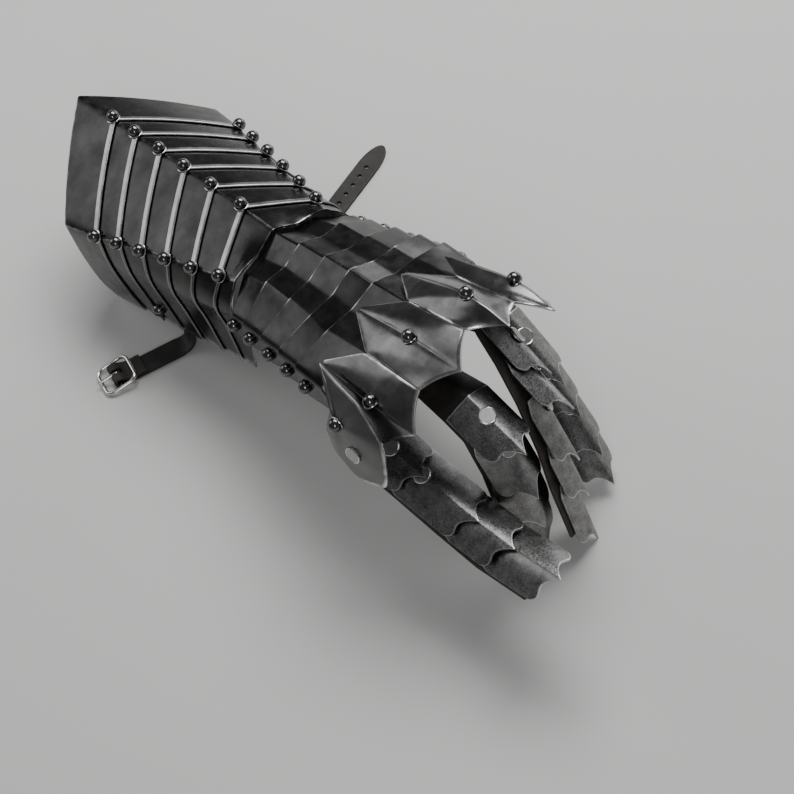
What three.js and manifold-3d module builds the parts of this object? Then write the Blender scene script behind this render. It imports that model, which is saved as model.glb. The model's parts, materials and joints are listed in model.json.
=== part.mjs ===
// Articulated plate gauntlet for the left hand, laid palm down on a flat surface.
//
// Everything of steel is described in the wearer's frame: X runs from the elbow to the fingers,
// Y from the thumb side to the little finger, Z out of the back of the hand. The whole is then
// pitched nose up until it sits on the cuff's two rear corners and on the ring fingertip, which
// is the resting frame: the surface is Z = 0. Straps and buckle are described there directly.

import * as THREE from 'three';
import { mergeVertices } from 'three/addons/utils/BufferGeometryUtils.js';
import Module from 'manifold-3d';

const wasm = await Module();
wasm.setup();

// ---- driving dimensions, mm and degrees -----------------------------------------------------

const WALL = 1.2; // steel plate
const CUFF_GAP = 1.3; // air between two riveted cuff lames where they lap
const HAND_GAP = 1.2; // air between two hand lames, which leaves room to flex
const RIVET_CLEARANCE = 0.35;
const HEAD_SIDES = 6; // of rivet heads
const SHANK_SIDES = 6;
const REST_PITCH = 20.6; // how far the nose is pitched up at rest

// Outer skin of the cuff at its rear rim, at the six riveted seams, and at the wrist edge.
const CUFF_STATIONS = [
  { top: [-44, 159], side: [-2, 66.5, 109], hem: [-15, 57.5, 38] },
  { top: [-2.5, 149], side: [30.5, 62, 105], hem: [20, 56.5, 35] },
  { top: [21.5, 142], side: [51.5, 58, 102], hem: [43, 56, 33] },
  { top: [47, 134], side: [73.5, 54, 98.5], hem: [65.5, 55, 31] },
  { top: [72.5, 126], side: [96, 49.5, 94.5], hem: [89, 54, 28.5] },
  { top: [100, 117.5], side: [119.5, 45, 90.5], hem: [113, 53, 26] },
  { top: [130, 109], side: [144, 40, 87], hem: [134, 52, 24] },
  { top: [159, 97.5], side: [157, 37.5, 85], hem: [150, 51.5, 23] },
];
const FLANK_REAR = { high: [65.8, 84], low: [63, 58] };
const FLANK_WRIST = { high: [49.8, 70], low: [49.8, 53] };
const UPPER_BULGE = 2.4; // of the cuff's upper faces at the rear, fading to none at the wrist
const SEAM_LEAD = 0.12; // front edge of a cuff lame, in stations ahead of its rivets
const SEAM_TAIL = 0.14; // hidden rear edge of the next one, in stations behind them
// The wrist plate's sides reach forward to carry the first hinge: section column to X.
const WRIST_TAB = { 1: 167, 2: 158, 8: 158, 9: 167 };

// Side rivets of the five hand lames, X and Z: each is the hinge between a lame and the one behind.
const HINGES = [[160, 62.5], [181, 60], [204, 57], [226, 54], [247, 50]];
const TAB_Y = 52.2; // outer face of the first hand lame's side tabs
const TAB_STEP = WALL + HAND_GAP; // each lame's tabs lie outside those of the lame behind it
const TAB_BASE = [53, 51, 48, 45, 41]; // lower edge of each lame's tabs
const TAB_TOP = [70, 69, 67.5, 66, 63.5]; // where each lame's tabs turn in over the hand
const TAB_BACK = 7.5;
const TAB_AHEAD = 6.5;
const FIRST_BEND = 3; // where a tab's rear edge turns in over the hand, from its rivet
const LATER_BEND = -4;
const LAST_TAB = { tabX: 266, bendX: 265, base: 36, top: 55, waist: 45 }; // front of the fifth lame's tabs
const HAND_LAP = 4.5; // how far a hand lame runs on under the next one
const HAND_DROP = 3; // and how far below it

// Rear edge of each hand lame: middle ridge, valley, outer ridge. The last entry is the front
// edge of the fifth lame, which is a zigzag under the knuckle caps.
const HAND_EDGES = [
  { ridge: [153, 0, 96], valley: [154, 15, 86.5], outer: [155, 29, 84] },
  { ridge: [188, 0, 94.5], valley: [186, 15.5, 87], outer: [185, 30, 86.5] },
  { ridge: [215, 0, 92], valley: [212, 16, 84], outer: [211, 31.5, 82] },
  { ridge: [240, 0, 89], valley: [237, 16.8, 81], outer: [234, 33.5, 78] },
  { ridge: [261, 0, 84.5], valley: [256, 17.5, 76.5], outer: [251, 35.5, 73] },
  { ridge: [293, 0, 78], valley: [273, 18, 73], outer: [289, 36, 67] },
];

const CAP_LIFT = 2.1; // outer skin of a knuckle cap above that of the hand lame under it
const CAP_GAP = 0.5; // between neighbouring caps
const SCALLOP = 3.5; // depth of the hollows in the caps' front rims
const SHOULDER_INDEX = [289, -36, 67 + CAP_LIFT];
const SHOULDER_MIDDLE = [293, 0, 78 + CAP_LIFT];
const SHOULDER_RING = [289, 36, 67 + CAP_LIFT];
const RIM_INDEX = [337, -37, 57.4];
const RIM_MIDDLE = [346, 0, 74.6];
const RIM_RING = [345.5, 35, 67];
const CAPS = {
  index: {
    back: [264, -53.5, 68], boss: [306, -54, 51], corner: [341, -54, 38.7],
    rims: [[309, -62, 25.6], RIM_INDEX], shoulders: [null, SHOULDER_INDEX],
  },
  middle: {
    back: [263, -18, 80], boss: [314, -18, 73], corner: [357, -18, 62.5],
    rims: [RIM_INDEX, RIM_MIDDLE], shoulders: [SHOULDER_INDEX, SHOULDER_MIDDLE],
  },
  ring: {
    back: [264, 17, 80], boss: [333, 17, 83], corner: [365, 17, 70],
    rims: [RIM_MIDDLE, RIM_RING], shoulders: [SHOULDER_MIDDLE, SHOULDER_RING],
  },
  little: {
    back: [264, 46, 71], boss: [328, 50, 66], corner: [358, 50, 53],
    rims: [RIM_RING, [338, 60, 45]], shoulders: [SHOULDER_RING, null],
  },
};

// Finger plates lap like tiles.
const TONGUE = 18; // how far a plate's middle point stands ahead of its straight sides
const SIDE_LAP = 5; // how far the straight sides run on over the next plate
const LOBE = 5; // how far the rounded lobes beside the tongue stand ahead of the sides
const FINGER_ARCH = 9.5; // how far a plate's sides fall below its ridge
const RIVET_AT = 17; // from a plate's rear edge, where it peeps from under the tongue before it
// Each plate is its slope, its length, and how far below it the next plate's rear edge
// lies, with the place of its rivet where that is unusual.
const FINGERS = {
  index: {
    start: [289, -54, 18.5], width: 35, roll: -10,
    plates: [[-27, 40, 4.8], [-23, 66, 5, 22], [-18, 51, 6.4, 19], [-9, 60, 0]],
  },
  middle: {
    start: [344, -16, 38], width: 32, roll: -3,
    plates: [[-41, 47.5, 5.4], [-82, 51.5, 3.2], [-95, 50, 3], [-103, 48, 0]],
  },
  ring: {
    start: [331.5, 29.4, 58.5], width: 27, roll: 55,
    plates: [[-50, 45.5, 4.3], [-49, 46, 6.8, 18], [-83, 54.5, 3.2], [-90, 50.5, 3.2], [-97, 60, 0]],
  },
  little: {
    start: [304, 47, 35], width: 29, roll: 5,
    plates: [[-57, 52, 3], [-70, 47, 3.4], [-72, 51, 3], [-80, 46, 0]],
  },
};

const LEATHER = 2; // finger leathers
const LEATHER_MARGIN = 0.8; // how far a leather shows past its plates on each side
const LEATHER_GAP = 0.8;
// Where each finger leather begins, tucked up inside the fifth hand lame.
const LEATHER_ROOTS = {
  index: [273, -46, 36], middle: [276, -17, 60], ring: [276, 17, 60], little: [273, 41, 48],
};
const ROOT_WIDTH = 0.6; // of the finger's

const DOME_R = 4.4;
const SHANK_R = 1.5;
const DISC_R = 5.2;
const DISC_H = 0.9;
const SEAM_DEPTH = 7.6; // past the next lame's wall, which falls away from the ridge inside
const SEAM_SKIRT = 1.0; // the head reaches down astride the ridge
const HINGE_DEPTH = WALL + HAND_GAP + WALL + 0.4;
const TAIL_R = 2.6;
const TAIL_H = 1;
const TAIL_CLEAR = 2.8; // of a finger rivet's shank, past the leather
const TAIL_ROOM = 6; // from a finger rivet to the next plate's rear edge
const STRAP_RIVET_DEPTH = 5.8;
const CAP_DEPTH = 3;
const CAP_AXIS = [-0.1, 0, 1];

// Straps are riveted inside the cuff: the lame, how far along it in stations, and height over the hem.
const STRAP_RIVET = { lame: 3, station: 2.38, up: 14 };
const STRAP = { half: 8, thick: 2, end: 9, lean: 20, floorAir: 0.1, gap: 0.6 };
const STRAP_HEADING = 16; // degrees that a strap on the floor heads back from square to the cuff
const BUCKLE_AT = [31.3, -102]; // middle of the buckle's bar, ahead of the wearer's origin
const TONGUE_STRAP = { run: 95, taperFrom: 74, holes: 6, firstHole: 22, pitch: 9, holeR: 1.6 };
const STRAP_RUN = 44; // from where a strap meets the floor to the middle of the buckle
const BAR_HEIGHT = 4.2;
const FOLD_R = 2.1; // inside of the strap's fold round the bar
const FOLD_TAIL = { dip: -8.5, end: -19, air: 0.5 };
const SLOT = { from: -4.5, to: 7, half: 2.1 }; // in the fold, for the prong
const BUCKLE = { long: 25, wide: 26, wire: 2.6, bar: 2, corner: 5, tilt: 12 };
const PRONG = { half: 1.4, eyeInner: 1.95, eyeOuter: 3.1 };
const PRONG_ARM = [[2.5, 0.2], [13.6, -0.45], [14.4, 0.4], [13.6, 1.2], [3, 2.8], [0.5, 2.9]];

// ---- materials ------------------------------------------------------------------------------

const metal = (color, roughness) => new THREE.MeshStandardMaterial({ color, roughness, metalness: 1 });
const hide = (color) => new THREE.MeshStandardMaterial({ color, roughness: 0.75, metalness: 0 });

const DARK_STEEL = metal(0x5c5d60, 0.38);
const CAP_STEEL = metal(0x85878a, 0.3);
const PLATE_STEEL = metal(0x929497, 0.45);
const NICKEL = metal(0xb9b7b2, 0.25);
const BLACK_LEATHER = hide(0x17140f);

// ---- small helpers --------------------------------------------------------------------------

const V = (x, y, z) => new THREE.Vector3(x, y, z);
const fromList = ([x, y, z]) => V(x, y, z);
const mirrored = (point) => V(point.x, -point.y, point.z);
const mix = (a, b, t) => a + (b - a) * t;
const radians = THREE.MathUtils.degToRad;

function geometryOf(points, triangles) {
  const geometry = new THREE.BufferGeometry();
  geometry.setAttribute('position', new THREE.Float32BufferAttribute(points.flatMap((p) => p.toArray()), 3));
  geometry.setIndex(triangles.flat());
  return geometry;
}

// Closed solid of even thickness behind an open skin. Each face lists its corners
// anticlockwise as seen from outside; the wall grows inwards.
function plateSolid(points, faces, thickness = WALL) {
  const triangles = faces.flatMap((face) => face.slice(2).map((_, i) => [face[0], face[i + 1], face[i + 2]]));
  const inner = innerPoints(points, triangles, thickness);
  const count = points.length;
  const walls = openEdges(triangles).flatMap(([a, b]) => [[b, a, a + count], [b, a + count, b + count]]);
  const back = triangles.map(([a, b, c]) => [a + count, c + count, b + count]);
  return geometryOf([...points, ...inner], [...triangles, ...back, ...walls]);
}

function innerPoints(points, triangles, thickness) {
  const normals = points.map(() => V(0, 0, 0));
  const faceNormals = points.map(() => []);
  for (const triangle of triangles) {
    const [a, b, c] = triangle.map((i) => points[i]);
    const cross = b.clone().sub(a).cross(c.clone().sub(a));
    const unit = cross.clone().normalize();
    triangle.forEach((i) => {
      normals[i].add(unit);
      faceNormals[i].push(unit);
    });
  }
  return points.map((point, i) => {
    const normal = normals[i].normalize();
    const lean = Math.min(...faceNormals[i].map((n) => n.dot(normal)));
    return point.clone().addScaledVector(normal, -thickness / Math.max(lean, 0.75));
  });
}

function openEdges(triangles) {
  const directed = new Map();
  for (const [a, b, c] of triangles) {
    [[a, b], [b, c], [c, a]].forEach(([p, q]) => directed.set(`${p},${q}`, [p, q]));
  }
  return [...directed.values()].filter(([p, q]) => !directed.has(`${q},${p}`));
}

// Rows run forwards and the points of a row run from the thumb side to the little finger.
function gridSolid(rows, thickness = WALL) {
  const wide = rows[0].length;
  const faces = [];
  for (let r = 0; r < rows.length - 1; r++) {
    for (let c = 0; c < wide - 1; c++) {
      const at = r * wide + c;
      const face = [at, at + wide, at + wide + 1, at + 1];
      faces.push(c < (wide - 1) / 2 ? face : [...face.slice(1), face[0]]); // diagonals mirror in Y
    }
  }
  return plateSolid(rows.flat(), faces, thickness);
}

function toManifold(geometry) {
  const bare = geometry.clone();
  bare.deleteAttribute('normal');
  bare.deleteAttribute('uv');
  const merged = mergeVertices(bare, 1e-4);
  return new wasm.Manifold(new wasm.Mesh({
    numProp: 3,
    vertProperties: new Float32Array(merged.attributes.position.array),
    triVerts: new Uint32Array(merged.index.array),
  }));
}

function fromManifold(solid) {
  const mesh = solid.getMesh();
  const geometry = new THREE.BufferGeometry();
  geometry.setAttribute('position', new THREE.Float32BufferAttribute(mesh.vertProperties, 3));
  geometry.setIndex([...mesh.triVerts]);
  return geometry;
}

function combine(base, added = [], removed = []) {
  let solid = toManifold(base);
  for (const geometry of removed) solid = solid.subtract(toManifold(geometry));
  for (const geometry of added) solid = solid.add(toManifold(geometry));
  return fromManifold(solid);
}

// Lathe about an axis: profile is a list of [radius, height], and height 0 sits at `foot`.
function turned(profile, foot, axis, facets = SHANK_SIDES) {
  const lathe = new THREE.LatheGeometry(profile.map(([r, h]) => new THREE.Vector2(r, h)), facets);
  lathe.applyQuaternion(new THREE.Quaternion().setFromUnitVectors(V(0, 1, 0), axis.clone().normalize()));
  return lathe.translate(foot.x, foot.y, foot.z);
}

// A rivet whose head sits on the skin at `foot`; depth is from the skin to the peened tail.
function domeRivet(foot, axis, depth, skirt = 0.4) {
  return turned([
    [0, -depth - TAIL_H], [TAIL_R, -depth], [SHANK_R, -depth], [SHANK_R, -skirt],
    [DOME_R, -skirt], [DOME_R, 1.5], [DOME_R * 0.7, 4.2], [0, 5.3],
  ], foot, axis, HEAD_SIDES);
}

function discRivet(foot, axis, depth) {
  return turned([
    [0, -depth - TAIL_H], [TAIL_R, -depth], [SHANK_R, -depth], [SHANK_R, -0.3],
    [DISC_R, -0.3], [DISC_R, DISC_H], [0, DISC_H],
  ], foot, axis, HEAD_SIDES);
}

function rivetHole(foot, axis, depth) {
  const reach = depth + 3;
  const r = SHANK_R + RIVET_CLEARANCE;
  return turned([[0, -reach], [r, -reach], [r, reach], [0, reach]], foot, axis);
}

// ---- cuff -----------------------------------------------------------------------------------

function stationAt(s) {
  const last = CUFF_STATIONS.length - 1;
  const from = Math.min(Math.max(Math.floor(s), 0), last - 1);
  const [a, b] = [CUFF_STATIONS[from], CUFF_STATIONS[from + 1]];
  const blend = (name) => a[name].map((value, i) => mix(value, b[name][i], s - from));
  return { top: blend('top'), side: blend('side'), hem: blend('hem'), along: s / last };
}

// Half section, from the hem on the thumb side up to the top ridge.
function halfSection(s) {
  const { top, side, hem, along } = stationAt(s);
  const flank = (name) => FLANK_REAR[name].map((value, i) => mix(value, FLANK_WRIST[name][i], along));
  const between = (z) => mix(hem[0], side[0], (z - hem[2]) / (side[2] - hem[2]));
  const [lowY, lowZ] = flank('low');
  const [highY, highZ] = flank('high');
  const lower = [V(hem[0], -hem[1], hem[2]), V(between(lowZ), -lowY, lowZ), V(between(highZ), -highY, highZ)];
  const [ridge, crest] = [V(side[0], -side[1], side[2]), V(top[0], 0, top[1])];
  const out = V(0, ridge.z - crest.z, -ridge.y).normalize();
  const bulged = ridge.clone().lerp(crest, 0.5).addScaledVector(out, UPPER_BULGE * (1 - along));
  return [...lower, ridge, bulged, crest];
}

function wholeSection(half) {
  return [...half, ...half.slice(0, -1).reverse().map(mirrored)];
}

// Move a section inwards by an even distance, mitred at its corners.
function insetSection(points, distance) {
  const squares = points.slice(1).map((point, i) => (
    V(0, points[i].z - point.z, point.y - points[i].y).normalize()));
  return points.map((point, i) => {
    const before = squares[Math.max(i - 1, 0)];
    const after = squares[Math.min(i, squares.length - 1)];
    const mitre = before.clone().add(after).normalize();
    return point.clone().addScaledVector(mitre, -distance / mitre.dot(before));
  });
}

const LAP_INSET = WALL + CUFF_GAP;
const SEAM_COLUMNS = [3, 5, 7]; // the section's three ridges

function cuffRows(number) {
  const isFirst = number === 1;
  const isWrist = number === CUFF_STATIONS.length - 1;
  const rear = wholeSection(halfSection(isFirst ? 0 : number - 1 - SEAM_TAIL));
  const front = wholeSection(halfSection(isWrist ? number : number + SEAM_LEAD));
  if (isWrist) Object.entries(WRIST_TAB).forEach(([column, x]) => { front[column].x = x; });
  return [insetSection(rear, isFirst ? 0 : LAP_INSET), front];
}

// The three rivets of seam number n, as foot and axis, each square to its ridge.
function seamRivets(n) {
  const [behind, here, ahead] = [n - 0.5, n, n + 0.5].map((s) => wholeSection(halfSection(s)));
  const towards = (from, to) => to.clone().sub(from).normalize();
  return SEAM_COLUMNS.map((column) => {
    const foot = here[column];
    const around = towards(here[column - 1], foot).add(towards(foot, here[column + 1]));
    return { foot, axis: towards(behind[column], ahead[column]).cross(around) };
  });
}

function hingeFeet(k) {
  const [x, z] = HINGES[k];
  const y = TAB_Y + k * TAB_STEP;
  return [{ foot: V(x, -y, z), axis: V(0, -1, 0) }, { foot: V(x, y, z), axis: V(0, 1, 0) }];
}

function cuffLame(number) {
  const isFirst = number === 1;
  const isWrist = number === CUFF_STATIONS.length - 1;
  const head = ({ foot, axis }) => domeRivet(foot, axis, SEAM_DEPTH, SEAM_SKIRT);
  const hole = (depth) => ({ foot, axis }) => rivetHole(foot, axis, depth);
  const heads = isWrist ? [] : seamRivets(number).map(head);
  const holes = isFirst ? [] : seamRivets(number - 1).map(hole(SEAM_DEPTH));
  if (isWrist) holes.push(...hingeFeet(0).map(hole(HINGE_DEPTH)));
  if (number === STRAP_RIVET.lame) heads.push(...strapRivets());
  return combine(gridSolid(cuffRows(number)), heads, holes);
}

// ---- hand lames -----------------------------------------------------------------------------

// Rear edge of a hand lame, from the thumb side's tab to the middle ridge.
function handRear(lame) {
  const [hingeX, hingeZ] = HINGES[lame];
  const bendX = hingeX + (lame === 0 ? FIRST_BEND : LATER_BEND);
  const tab = { tabX: hingeX - TAB_BACK, bendX, base: TAB_BASE[lame], top: TAB_TOP[lame] };
  return handEdge(lame, tab, hingeZ + 2, handKeys(lame));
}

// Outer ridge, valley and middle ridge on the thumb side.
function handKeys(edge) {
  const { ridge, valley, outer } = HAND_EDGES[edge];
  return [mirrored(fromList(outer)), mirrored(fromList(valley)), fromList(ridge)];
}

function handEdge(lame, { tabX, bendX, base, top }, waist, [outer, valley, ridge]) {
  const y = -(TAB_Y + lame * TAB_STEP);
  const bend = V(bendX, y, top);
  const flank = [V(tabX, y, base), V(tabX, y, waist), bend, outer.clone().lerp(bend, 0.5)];
  return [...flank, outer, valley, ridge];
}

// Front edge: it runs on beneath the next lame, except the last one's, which ends in a zigzag.
function handFront(lame) {
  if (lame === HINGES.length - 1) {
    return handEdge(lame, LAST_TAB, LAST_TAB.waist + 2, handKeys(lame + 1));
  }
  const rear = handRear(lame);
  const next = handRear(lame + 1);
  const [hingeX, hingeZ] = HINGES[lame + 1];
  const lapped = [4, 5, 6].map((column) => {
    const under = next[column].clone().sub(V(0, 0, HAND_DROP));
    return under.addScaledVector(under.clone().sub(rear[column]).normalize(), HAND_LAP);
  });
  const reach = hingeX + TAB_AHEAD;
  const tab = { tabX: reach, bendX: reach, base: TAB_BASE[lame + 1] + 1, top: TAB_TOP[lame + 1] - 5 };
  return handEdge(lame, tab, hingeZ + 2, lapped);
}

function handLame(lame) {
  const rows = [handRear(lame), handFront(lame)].map(wholeSection);
  const heads = hingeFeet(lame).map(({ foot, axis }) => domeRivet(foot, axis, HINGE_DEPTH));
  const isLast = lame === HINGES.length - 1;
  const holes = isLast ? [] : hingeFeet(lame + 1).map(({ foot, axis }) => rivetHole(foot, axis, HINGE_DEPTH));
  return combine(gridSolid(rows), heads, holes);
}

// ---- knuckle caps ---------------------------------------------------------------------------

function scallopBetween(rim, corner, inwards) {
  return [0.25, 0.5, 0.75].map((t) => (
    rim.clone().lerp(corner, t).addScaledVector(inwards, 4 * t * (1 - t) * SCALLOP)));
}

function knuckleCap({ back, boss, corner, rims, shoulders }) {
  const [rear, crown, point] = [back, boss, corner].map(fromList);
  const inwards = rear.clone().sub(point).normalize();
  const shifted = (list, side) => fromList(list).add(V(0, side * -CAP_GAP / 2, 0));
  const sides = [-1, 1].map((side, i) => {
    const rim = shifted(rims[i], side);
    const shoulder = shoulders[i] ? [shifted(shoulders[i], side)] : [];
    return { rim, shoulder, scallop: scallopBetween(rim, point, inwards) };
  });
  const [near, far] = sides;
  const loop = [
    rear, ...near.shoulder, near.rim, ...near.scallop, point,
    ...far.scallop.reverse(), far.rim, ...far.shoulder,
  ];
  const count = loop.length;
  const faces = loop.map((_, i) => [count, i, (i + 1) % count]);
  return combine(plateSolid([...loop, crown], faces), [domeRivet(crown, V(...CAP_AXIS), CAP_DEPTH)]);
}

// ---- finger plates --------------------------------------------------------------------------

const sideDrop = (t) => FINGER_ARCH * Math.pow(Math.abs(t), 1.5);

// Front outline: rounded lobes either side of a sharp tongue, as length ahead of the sides.
function frontReach(t) {
  const away = Math.abs(t);
  const lobe = LOBE * Math.sqrt(Math.max(0, 1 - Math.pow(Math.max(0, away - 0.7) / 0.3, 2)));
  const tongue = (TONGUE - LOBE) * Math.pow(Math.max(0, 1 - away / 0.62), 1.7);
  return lobe + tongue;
}

const ACROSS = [-1, -0.8, -0.4, 0, 0.4, 0.8, 1];

// A local frame on a plate: forward, across and outward, at the middle of its rear edge.
class PlateFrame {
  constructor(origin, forward, outward) {
    this.origin = origin;
    this.forward = forward.clone().normalize();
    this.across = outward.clone().cross(this.forward).normalize();
    this.outward = this.forward.clone().cross(this.across);
  }

  at(ahead, aside, up) {
    return this.origin.clone().addScaledVector(this.forward, ahead)
      .addScaledVector(this.across, aside).addScaledVector(this.outward, up);
  }
}

// A plate after the first is drawn in at its rear corners, which lie inside the one before.
const REAR_TAPER = { narrow: 0.84, over: 9 };

function lappedPlate(frame, { width, plates }, index) {
  const straight = plates[index][1] - TONGUE;
  const row = (reach, narrow = 1) => ACROSS.map((t) => (
    frame.at(reach(t), (t * narrow * width) / 2, -sideDrop(t * narrow))));
  const rear = index === 0 ? [row(() => 0)] : [row(() => 0, REAR_TAPER.narrow), row(() => REAR_TAPER.over)];
  const rows = [...rear, row((t) => straight + frontReach(t))];
  const disc = discRivet(rivetFoot(frame, plates, index), frame.outward, rivetDepth(plates, index));
  return combine(gridSolid(rows), [disc]);
}

// A rivet reaches through the leather, which lies deeper towards the next plate.
function rivetDepth(plates, index) {
  const [, long, drop] = plates[index];
  const along = rivetAhead(plates[index]) / plateRun(long);
  return LEATHER_DOWN + along * drop + LEATHER + TAIL_CLEAR;
}

// How far a plate runs before the next begins, and how far along it its rivet is.
const plateRun = (long) => long - TONGUE - SIDE_LAP;
const rivetAhead = ([, long, , ahead = RIVET_AT]) => Math.min(ahead, plateRun(long) - TAIL_ROOM);
const rivetFoot = (frame, plates, index) => frame.at(rivetAhead(plates[index]), 0, 0);

function fingerFrames({ start, roll, plates }) {
  const frames = [];
  let origin = fromList(start);
  for (const [pitch, long, drop] of plates) {
    const turn = radians(pitch);
    const forward = V(Math.cos(turn), 0, Math.sin(turn));
    const outward = V(-forward.z, 0, forward.x).applyAxisAngle(forward, -radians(roll));
    const frame = new PlateFrame(origin, forward, outward);
    frames.push(frame);
    origin = frame.at(plateRun(long), 0, -drop);
  }
  return frames;
}

// The leather lies this far under a plate's skin.
const LEATHER_DOWN = WALL * 1.3 + LEATHER_GAP;

function leatherRow(frame, { width }, ahead, narrow = 1) {
  const half = width / 2;
  const edge = (half + LEATHER_MARGIN) / half;
  return [-1, -0.5, 0, 0.5, 1].map((t) => (
    frame.at(ahead, t * edge * narrow * half, -LEATHER_DOWN - sideDrop(t * edge * narrow))));
}

// One leather backs all the plates of a finger and runs on to its root under the hand.
function fingerLeather(name) {
  const finger = FINGERS[name];
  const frames = fingerFrames(finger);
  const origin = fromList(LEATHER_ROOTS[name]);
  const root = new PlateFrame(origin, frames[0].origin.clone().sub(origin), frames[0].outward);
  const rows = [
    leatherRow(root, finger, 0, ROOT_WIDTH),
    ...frames.map((frame) => leatherRow(frame, finger, -1)),
    leatherRow(frames.at(-1), finger, finger.plates.at(-1)[1] - TONGUE - 2),
  ];
  const holes = frames.map((frame, i) => (
    rivetHole(rivetFoot(frame, finger.plates, i), frame.outward, rivetDepth(finger.plates, i))));
  return combine(gridSolid(rows, LEATHER), [], holes);
}

// ---- thumb ----------------------------------------------------------------------------------

const THUMB_BASE = {
  outline: [
    [274, -58, 73], [287, -66, 57], [277, -75.5, 38.5], [283, -79, 24.5], [294, -79, 8],
    [318, -75, 6], [322.5, -67, 31.5], [315, -64, 44], [307, -62, 58], [286, -59.5, 66.5],
  ],
  crest: [293, -73.5, 46.5],
  disc: [300.6, -75, 27.2],
  discAxis: [0.174, -0.974, 0.144],
};
const THUMB_RIVET_DEPTH = 4;

function thumbBase() {
  const loop = THUMB_BASE.outline.map(fromList);
  const crest = fromList(THUMB_BASE.crest);
  const count = loop.length;
  const faces = loop.map((_, i) => [count, i, (i + 1) % count]);
  const dome = domeRivet(crest, V(0, -1, 0), THUMB_RIVET_DEPTH);
  const disc = discRivet(fromList(THUMB_BASE.disc), fromList(THUMB_BASE.discAxis), THUMB_RIVET_DEPTH);
  return combine(plateSolid([...loop, crest], faces), [dome, disc]);
}

// ---- straps and buckle, in the resting frame --------------------------------------------------

// A strap rivet's place on the thumb side of the cuff: foot, way down the flank, outward normal.
function strapSeat() {
  const [hem, low] = halfSection(STRAP_RIVET.station);
  const ahead = halfSection(STRAP_RIVET.station + 0.5)[0].sub(hem).normalize();
  const down = hem.clone().sub(low).normalize();
  const outward = down.clone().cross(ahead).normalize();
  const skin = hem.clone().addScaledVector(down, -STRAP_RIVET.up);
  const share = (STRAP_RIVET.lame + SEAM_LEAD - STRAP_RIVET.station) / (1 + SEAM_LEAD + SEAM_TAIL);
  const sunk = LAP_INSET * share;
  return { skin, foot: skin.clone().addScaledVector(outward, -sunk), down, outward };
}

function strapRivets() {
  const { foot, outward } = strapSeat();
  const rivet = (at, axis) => domeRivet(at, axis, STRAP_RIVET_DEPTH, 0.3);
  return [rivet(foot, outward), rivet(mirrored(foot), mirrored(outward))];
}

// From here on, points are on the resting surface: Z is height above it.
function grounded(direction) {
  return direction.clone().applyAxisAngle(V(0, 1, 0), -radians(REST_PITCH));
}

const HEADING = V(-Math.sin(radians(STRAP_HEADING)), -Math.cos(radians(STRAP_HEADING)), 0);
const ACROSS_STRAP = V(-HEADING.y, HEADING.x, 0);
const onFloor = (ahead, height) => V(...BUCKLE_AT, height).addScaledVector(HEADING, ahead);
const strapRow = (middle, side, half = STRAP.half) => (
  [middle.clone().addScaledVector(side, -half), middle.clone().addScaledVector(side, half)]);

// The thumb-side strap from its riveted end, down inside the cuff and out under the hem.
function strapLeg(floorHeight) {
  const seat = strapSeat();
  const outward = grounded(seat.outward);
  const down = grounded(seat.down).applyAxisAngle(outward, radians(STRAP.lean));
  const side = outward.clone().cross(down).normalize();
  const foot = grounded(seat.skin).sub(V(0, 0, floorHeight))
    .addScaledVector(outward, -(LAP_INSET + WALL + STRAP.gap));
  const hem = foot.clone().addScaledVector(down, STRAP_RIVET.up + 3);
  const landing = onFloor(-STRAP_RUN, STRAP.thick + STRAP.floorAir);
  const bend = new THREE.CubicBezierCurve3(
    hem, hem.clone().addScaledVector(down, 10), landing.clone().addScaledVector(HEADING, -12), landing);
  const rows = [strapRow(foot.clone().addScaledVector(down, -STRAP.end), side)];
  for (let i = 0; i <= 5; i++) {
    rows.push(strapRow(bend.getPoint(i / 5), side.clone().lerp(ACROSS_STRAP, i / 5).normalize()));
  }
  const hole = rivetHole(foot, outward, 6);
  return { rows, hole };
}

function buckleStrap(floorHeight) {
  const { rows, hole } = strapLeg(floorHeight);
  const top = STRAP.thick + STRAP.floorAir;
  const row = (ahead, height) => rows.push(strapRow(onFloor(ahead, height), ACROSS_STRAP));
  for (let i = -3; i <= 3; i++) {
    const turn = (i / 3) * (Math.PI / 2);
    row(FOLD_R * Math.cos(turn), BAR_HEIGHT + FOLD_R * Math.sin(turn));
  }
  row(FOLD_TAIL.dip, top + FOLD_TAIL.air);
  row(FOLD_TAIL.end, top + FOLD_TAIL.air);
  const slot = new THREE.BoxGeometry(SLOT.to - SLOT.from, 2 * SLOT.half, 20);
  slot.translate((SLOT.to + SLOT.from) / 2, 0, 0);
  return combine(gridSolid(rows, STRAP.thick), [], [hole, atBuckle(slot)]);
}

// Turn a shape whose X is the strap's heading and place it at the buckle's bar.
function atBuckle(geometry) {
  const turn = new THREE.Matrix4().makeBasis(HEADING, V(0, 0, 1).cross(HEADING), V(0, 0, 1));
  return geometry.applyMatrix4(turn.setPosition(onFloor(0, BAR_HEIGHT)));
}

function tongueStrap(floorHeight) {
  const { rows, hole } = strapLeg(floorHeight);
  const { run, taperFrom, holes, firstHole, pitch, holeR } = TONGUE_STRAP;
  const top = STRAP.thick + STRAP.floorAir;
  const row = (ahead, half) => rows.push(strapRow(onFloor(ahead - STRAP_RUN, top), ACROSS_STRAP, half));
  row(taperFrom, STRAP.half);
  for (let i = 1; i <= 4; i++) {
    const turn = (i / 4) * radians(80);
    row(taperFrom + (run - taperFrom) * Math.sin(turn), STRAP.half * Math.cos(turn));
  }
  const punched = Array.from({ length: holes }, (_, i) => {
    const foot = onFloor(run - STRAP_RUN - firstHole - i * pitch, top);
    return turned([[0, -5], [holeR, -5], [holeR, 5], [0, 5]], foot, V(0, 0, 1), HEAD_SIDES);
  });
  const geometry = combine(gridSolid(rows, STRAP.thick), [], [hole, ...punched]);
  return mirroredSolid(geometry);
}

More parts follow.
